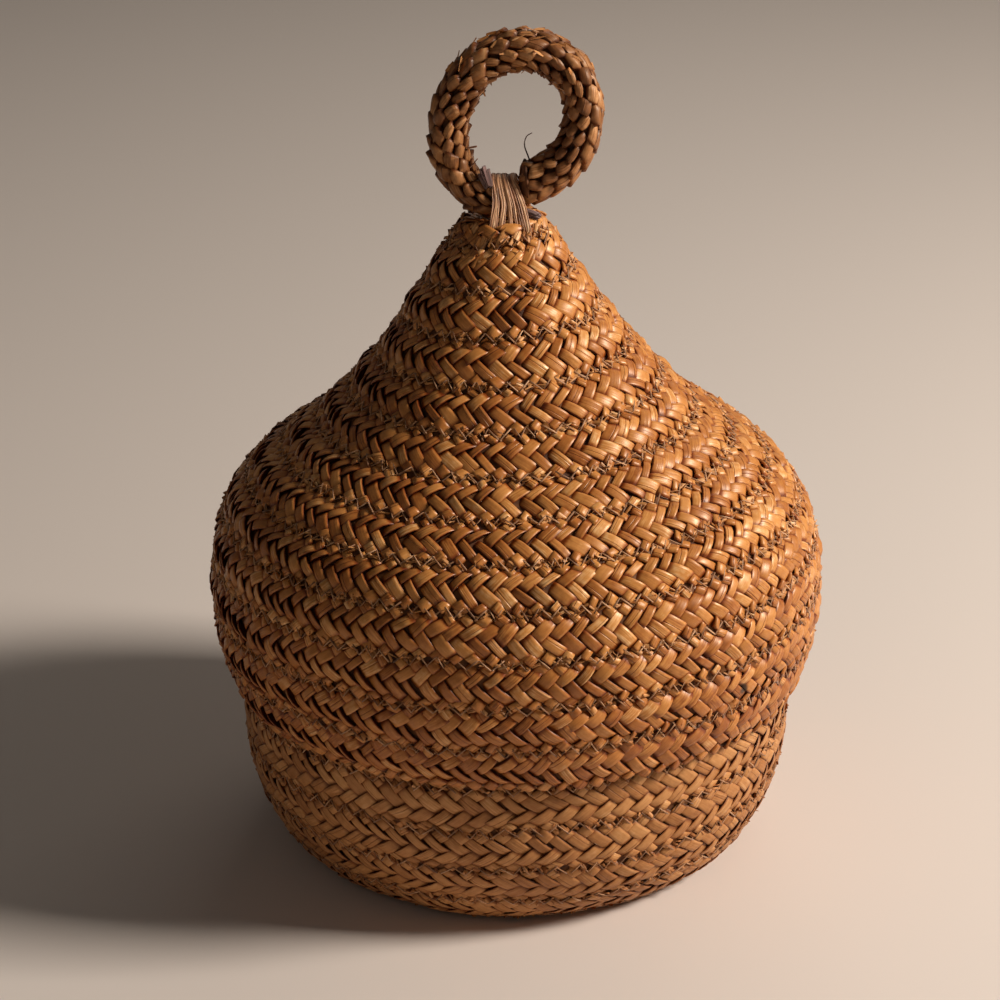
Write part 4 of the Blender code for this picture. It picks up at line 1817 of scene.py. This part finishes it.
    def along(self, distance: float) -> tuple[np.ndarray, np.ndarray]:
        """Walks along the limb's middle line, and straight on past its end.

        Args:
            distance: from the line's start.

        Returns:
            The place and the direction there.
        """
        inner = min(distance, float(self.walked[-1]))
        place, before = (np.array([np.interp(at, self.walked, column) for column in self.path.T])
                         for at in (inner, inner - MM))
        way = (place - before) / np.linalg.norm(place - before)
        return place + (distance - inner) * way, way

    def cover_end(self, material: Material) -> Thing:
        """Covers the cut right end with dark fibres, painted shade of that end, which faces away from the
        key lamp, with some wear.

        Args:
            material: its finish.

        Returns:
            The piece.
        """
        shape = Shape()
        end = float(self.walked[-1]) + 0.1 * self.slant
        thickest = self.limb_at(float(self.angles[-1]))
        chance = np.random.default_rng(self.seed)
        ridges = chance.uniform(-0.3, 0.3, self.tip_sides) * MM
        rings = []
        for i in range(self.tip_steps + 1):
            ring = []
            for k in range(self.tip_sides):
                turn = TURN * k / self.tip_sides
                high = math.cos(turn)
                first = end - self.tip - self.tip_slant * high
                last = end - 0.01 * MM - self.slant * high
                distance = first + (last - first) * i / self.tip_steps
                rest = min(1.0, max(0.0, (end - self.slant * high - distance) / self.cap))
                middle, way = self.along(distance)
                lift = (self.tip_lift + ridges[k]) * smooth_step(i, 0, 3) - self.tip_sink * (i == 0)
                radius = (thickest + lift) * math.sqrt(rest * (2 - rest))
                place = (middle[0] + radius * high * way[2], radius * math.sin(turn),
                         middle[2] - radius * high * way[0])
                ring.append(shape.add_point(place, (0.0, 0.0, 0.0), 0.0, 0,
                                            (radius * turn / MM, distance / MM)))
            rings.append(ring)
        shape.skin(rings, inward=True)
        piece = shape.mesh_object("ring_dark_end")
        piece.data.materials.append(material)
        return settle(piece, "ring", "straw_braid")


@dataclass(frozen=True)
class Lash:
    """One strand of the lashing: where it passes, left to right, in millimetres.

    Attributes:
        top: over the limb.
        side: in front of the limb's middle.
        foot: where it goes into the crown.
        half: half its width.
        lift: how far it lies over the strands under it.
        tone: of its fibre.
    """

    top: float
    side: float
    foot: float
    half: float
    lift: float
    tone: float


@dataclass
class Lashing:
    """Raffia strands over the ring's lower limb and down into the crown, front and back.

    Attributes:
        strands: the strands seen in front. Those behind mirror them.
        foot_reach: from the limb's middle plane to where they go into the crown.
        foot_height: of that place.
        sunk: how far they go on into the crown.
        limb_height: of the middle of the limb that they go over.
        still_to: height up to which they were to stay with the lid. Not used.
        tilts_from: height from which they were to tilt with the ring. Not used.
        over: from the limb's middle to theirs, over it.
        thickness: of a strand.
        fibres: of a strand.
        seed: of its chance numbers.
    """

    strands: tuple[Lash, ...] = (
        Lash(-5.45, -4.85, -6.00, 0.56, 0.14, 0.75),
        Lash(-5.75, -5.50, -6.60, 0.28, 0.00, 0.25),
        Lash(-5.00, -4.40, -5.15, 0.34, 0.05, 0.50),
        Lash(-4.30, -3.20, -3.90, 0.56, 0.16, 0.80),
        Lash(-3.75, -2.45, -3.00, 0.24, -0.10, 0.15),
        Lash(-3.45, -1.65, -1.05, 0.56, 0.18, 0.70),
        Lash(-2.70, -0.65, 0.40, 0.42, 0.24, 0.60),
        Lash(-1.90, 0.10, 1.60, 0.34, 0.00, 0.15),
        Lash(-1.20, 0.95, 2.30, 0.30, 0.10, 0.45),
        Lash(-0.55, 1.75, 3.40, 0.56, 0.26, 0.80),
    )
    foot_reach: float = 9.6 * MM
    foot_height: float = 168.3 * MM
    sunk: float = 2.6 * MM
    limb_height: float = 173.85 * MM
    still_to: float = 172.0 * MM
    tilts_from: float = 176.0 * MM
    over: float = 5.5 * MM
    thickness: float = 0.42 * MM
    fibres: int = 2
    seed: int = 5

    def side_line(self, lift: float) -> np.ndarray:
        """Draws the middle of a strand from the front foot to the back one.

        Args:
            lift: how far it lies over the strands under it.

        Returns:
            (y, z) of each point.
        """
        rise, over = self.limb_height - self.foot_height, self.over + lift
        slope = math.atan2(rise, self.foot_reach) + math.asin(over / math.hypot(rise, self.foot_reach))
        start = math.pi / 2 + slope
        arc = [(over * math.cos(start - t * (2 * start - math.pi)),
                self.limb_height + over * math.sin(start - t * (2 * start - math.pi)))
               for t in np.linspace(0, 1, 17)]
        foot = (-self.foot_reach, self.foot_height)
        front = [(foot[0] + 0.2 * MM, foot[1] - self.sunk), foot]
        rising = [(foot[0] + t * (arc[0][0] - foot[0]), foot[1] + t * (arc[0][1] - foot[1]))
                  for t in np.linspace(0.15, 0.9, 6)]
        half = front + rising + arc[:9]
        return np.array(half + [(-y, z) for y, z in half[-2::-1]])

    def build(self, shop: Workshop) -> list[Thing]:
        """Makes the strands.

        Args:
            shop: trees and finishes.

        Returns:
            The pieces.
        """
        chance = np.random.default_rng(self.seed)
        heights = (self.foot_height, self.limb_height, self.limb_height + self.over)
        pieces = []
        for number, lash in enumerate(self.strands):
            foot, side, top, half, lift = (MM * size for size in (lash.foot, lash.side, lash.top,
                                                                  lash.half, lash.lift))
            for fibre in range(self.fibres):
                line = self.side_line(lift + chance.uniform(-0.12, 0.12) * MM)
                walked = np.linspace(0, 1, len(line))
                aside = (fibre / (self.fibres - 1) - 0.5) * half
                x = np.interp(line[:, 1], heights, (foot, side, top)) + aside
                x = x + 0.12 * MM * np.sin(14 * walked + chance.uniform(0, 6))
                path = np.stack([x, line[:, 0], line[:, 1]], axis=1)
                thin = half * chance.uniform(0.5, 0.72)
                swell = 1 + 0.22 * np.sin(12 * walked + chance.uniform(0, 6))
                tone = min(1.0, max(0.0, lash.tone + chance.uniform(-0.4, 0.4)))
                pieces.append(tube_piece(f"lashing_{number}_{fibre}", path, thin * swell, 8,
                                         shop.finishes["raffia"], flat=self.thickness / 2 / thin,
                                         wide=(1.0, 0.0, 0.0), tone=tone))
        joined = join("lashing_strands", pieces)
        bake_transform(joined)
        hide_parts("handle_lashing")
        return [joined]


@dataclass(frozen=True)
class LooseEnd:
    """A cut end or stray fibre.

    Attributes:
        name: of the piece.
        body: that it belongs to.
        finish: its material by name.
        points: of its line, from its root, in millimetres.
        radii: at its root and tip, in millimetres.
        tone: of its fibre.
        fibres: how many it has. They lie round its line and end unevenly.
    """

    name: str
    body: str
    finish: str
    points: tuple[tuple[float, float, float], ...]
    radii: tuple[float, float]
    tone: float = 0.2
    fibres: int = 1

    def build(self, shop: Workshop) -> list[Thing]:
        """Makes the piece.

        Args:
            shop: trees and finishes.

        Returns:
            The pieces.
        """
        chance = np.random.default_rng(len(self.name))
        line = curved(np.array(self.points) * MM, 6 * len(self.points))
        share = 0.0 if self.fibres == 1 else 0.6
        pieces = []
        for fibre in range(self.fibres):
            turn = TURN * fibre / self.fibres
            aside = share * self.radii[0] * MM * np.array([math.cos(turn), 0.8 * math.sin(turn),
                                                           math.cos(turn + 1.2)])
            kept = max(4, int(len(line) * (1 - share * chance.uniform(0, 0.45))))
            path = line[:kept] + aside * np.linspace(0.7, 1.25, kept)[:, None]
            radii = (1 - 0.75 * share) * np.linspace(self.radii[0], self.radii[1], kept) * MM
            tone = self.tone + share * chance.uniform(-0.3, 0.6)
            pieces.append(tube_piece(f"{self.name}_{fibre}", path, radii, 8,
                                     shop.finishes[self.finish], flat=0.6, wide=(0.3, 1.0, 0.2),
                                     tone=tone))
        return [settle(join(self.name, pieces), self.body, "raffia")]


LOOSE_ENDS = (
    LooseEnd("stub_left_of_lashing", "ring", "dark_end",
             ((-6.7, -3.8, 177.6), (-7.5, -3.9, 179.8), (-8.3, -3.6, 182.2)), (1.5, 1.4), 0.5, 9),
    LooseEnd("stub_right_of_lashing", "lid", "dark_end",
             ((2.4, -6.0, 171.9), (4.2, -5.9, 171.1), (6.6, -5.2, 169.7)), (1.05, 0.85), 0.4, 8),
    LooseEnd("stray_curl", "ring", "dark_end",
             ((4.2, -0.8, 181.6), (3.0, -0.9, 184.6), (2.1, -1.0, 187.4), (2.6, -1.1, 189.6),
              (4.0, -1.1, 190.6)), (0.3, 0.2)),
    LooseEnd("short_end_1", "ring", "raffia",
             ((-12.3, -2.0, 186.9), (-11.0, -2.3, 187.2), (-9.7, -2.5, 187.5)), (0.45, 0.35)),
    LooseEnd("short_end_2", "ring", "raffia",
             ((-11.4, -2.6, 182.2), (-10.5, -3.0, 183.3), (-9.5, -3.2, 184.6)), (0.32, 0.2)),
    LooseEnd("short_end_3", "ring", "raffia",
             ((4.3, -2.0, 208.0), (4.9, -2.4, 206.8), (5.6, -2.6, 205.6)), (0.5, 0.3)),
    LooseEnd("short_end_4", "ring", "raffia",
             ((9.5, -2.2, 205.6), (9.0, -2.6, 204.4), (8.4, -2.8, 203.0)), (0.5, 0.3)),
    LooseEnd("top_end_1", "ring", "raffia",
             ((0.4, -1.0, 215.0), (1.4, -1.8, 216.3), (2.6, -2.4, 216.5)), (0.4, 0.2), 0.8),
    LooseEnd("top_end_2", "ring", "raffia",
             ((3.2, -0.6, 214.9), (4.2, -1.4, 216.2), (5.6, -2.0, 216.0)), (0.4, 0.2), 0.8),
)


def join(name: str, pieces: Sequence[Thing]) -> Thing:
    """Joins pieces of one finish.

    Args:
        name: of the result.
        pieces: the objects, which go into the first.

    Returns:
        The joined piece.
    """
    with bpy.context.temp_override(active_object=pieces[0], selected_editable_objects=list(pieces)):
        bpy.ops.object.join()
    pieces[0].name = pieces[0].data.name = name
    return pieces[0]


# Stage, light and camera


@dataclass
class Studio:
    """A pale floor, soft lamps and the camera, at the photograph's angle.

    Attributes:
        distance: from the camera to the point that it looks at.
        elevation: of the camera, in degrees.
        target_height: of that point.
        lens: in millimetres on a 36 mm wide sensor.
        shift: of the frame sideways, as a share of its width.
        floor_reach: radius of the floor.
        floor_hole: radius of the hole that the box covers, through which its underside gets light.
        floor_sides: straight sides of both.
        floor_drop: how far the floor lies under the box, so that the two don't touch.
        lamp_target: height of the point that the lamps look at.
        room_light: strength of the pale light from all round.
    """

    distance: float = 0.700
    elevation: float = 23.09
    target_height: float = 0.0913
    lens: float = 96.0
    shift: float = -0.016
    floor_reach: float = 5.0
    floor_hole: float = 0.054
    floor_sides: int = 96
    floor_drop: float = 0.0002
    lamp_target: float = 0.09
    room_light: float = 0.068

    def build(self) -> None:
        """Makes the floor, the lamps, the world and the camera."""
        self.floor()
        self.lamp("key_lamp", (1.0, -0.16, 0.76), 0.30, 14.2, "#FFF6ED")
        self.lamp("fill_lamp", (-0.70, -1.10, 0.75), 1.1, 0.28, "#FFF4EA")
        self.lamp("rim_lamp", (0.35, 1.0, 0.9), 0.9, 0.9, "#FFF4E8")
        self.lamp("under_lamp", (0.25, -0.45, -0.7), 0.8, 0.9, "#FFF4EA")
        world = bpy.data.worlds.new("soft_room")
        world.use_nodes = True
        set_inputs(world.node_tree, world.node_tree.nodes["Background"],
                   {"Color": linear("#F4EDE6"), "Strength": self.room_light})
        bpy.context.scene.world = world
        self.camera()
        bpy.context.scene.view_settings.view_transform = "Standard"

    def floor(self) -> None:
        """Makes the floor as a flat ring."""
        sides = self.floor_sides
        mesh = bpy.data.meshes.new("floor")
        mesh.from_pydata([(radius * math.cos(TURN * k / sides), radius * math.sin(TURN * k / sides), 0.0)
                          for radius in (self.floor_hole, self.floor_reach) for k in range(sides)], [],
                         [(k, sides + k, sides + (k + 1) % sides, (k + 1) % sides) for k in range(sides)])
        mesh.materials.append(PALE_FLOOR.material())
        floor = add_object("floor", mesh)
        floor.location.z = -self.floor_drop

    def camera(self) -> None:
        """Makes the camera."""
        data = bpy.data.cameras.new("camera")
        data.lens, data.sensor_width, data.shift_x = self.lens, 36.0, self.shift
        data.clip_start, data.clip_end = 0.02, 30.0
        camera = add_object("camera", data)
        tilt = math.radians(self.elevation)
        target = Vector((0.0, 0.0, self.target_height))
        camera.location = target + self.distance * Vector((0.0, -math.cos(tilt), math.sin(tilt)))
        camera.rotation_euler = (target - camera.location).to_track_quat("-Z", "Y").to_euler()
        bpy.context.scene.camera = camera

    def lamp(self, name: str, place: tuple[float, float, float], size: float, strength: float,
             colour: str) -> None:
        """Adds a square lamp that looks at the box.

        Args:
            name: of the lamp.
            place: in metres.
            size: of its side.
            strength: in watts at one metre, scaled to its distance.
            colour: hex.
        """
        data = bpy.data.lights.new(name, "AREA")
        target = Vector((0.0, 0.0, self.lamp_target))
        gap = (Vector(place) - target).length
        data.size, data.energy, data.color = size, strength * gap * gap, linear(colour)[:3]
        lamp = add_object(name, data)
        lamp.location = place
        lamp.rotation_euler = (target - Vector(place)).to_track_quat("-Z", "Y").to_euler()


# The walls and the finishes of this box


LID_OUTLINE = Outline((
    (0.0, 167.7, 0.0), (8.5, 169.3, 0.0), (13.3, 164.9, -56.0), (41.2, 125.9, -47.0),
    (66.0, 105.0, -37.0), (80.4, 70.0, -90.0), (75.9, 46.5, -107.0),
), side=1)
BASE_OUTLINE = Outline((
    (0.0, 0.0, 0.0), (55.0, 0.0, 0.0), (67.2, 10.0, 62.0), (73.2, 38.0, 90.0), (71.1, 96.03, 93.0),
), side=-1)
BASE = PlaitedWall(
    "base", ("base_wall", "base_floor"), "base_seam_thread", BASE_OUTLINE,
    first_seam=59.6 * MM, turn=1, strand_step=5.2 * MM, stitch_step=5.7 * MM,
    valleys=(0.3 * MM, 0.35 * MM), cants=(-0.25 * MM, 0.2 * MM), split_rows=(3.0,), puff=0.85,
    lowest=0.0, seed=11, tight=1.1, finish="base_straw", loose=0.18,
)
LID = PlaitedWall(
    "lid", ("lid_shell", "lid_crown"), "lid_seam_thread", LID_OUTLINE,
    first_seam=14.76 * MM, turn=-1, strand_step=4.4 * MM, stitch_step=4.8 * MM,
    valleys=(0.85 * MM, 0.4 * MM), cants=(-0.28 * MM, -0.28 * MM), split_rows=(7.0,), puff=1.0,
    lowest=-1.0, seed=23, loose=0.28, lean=3.0 * MM, lean_from=105.0 * MM, lean_to=164.9 * MM,
    frayed_rows=0.3, caught=-0.65 * MM,
)
FINISHES = {
    "straw": GOLDEN_STRAW, "base_straw": EVEN_STRAW, "braid": BRAID_STRAW, "lining": LINING_STRAW,
    "twine": SEWING_TWINE, "raffia": LASHING_RAFFIA, "heart": PAINTED_SHADE_HEART, "split_straw": SPLIT_STRAW,
    "dark_end": DARK_RAFFIA,
}


def main() -> None:
    """Builds every sub-assembly in order and reports its pieces."""
    logging.basicConfig(level=logging.INFO, format="%(name)s %(message)s", stream=sys.stdout)
    shop = Workshop(spiral_tree(), braid_tree(), wander_tree(),
                    {name: finish.material() for name, finish in FINISHES.items()})
    for part in (BASE, LID, RingHandle(), Lashing(), *LOOSE_ENDS):
        for piece in part.build(shop):
            LOG.info("%s: %d faces", piece.name, len(piece.data.polygons))
    Studio().build()
    for tree in (shop.spiral, shop.braid, shop.uneven):
        bpy.data.node_groups.remove(tree)


if __name__ == "__main__":
    main()
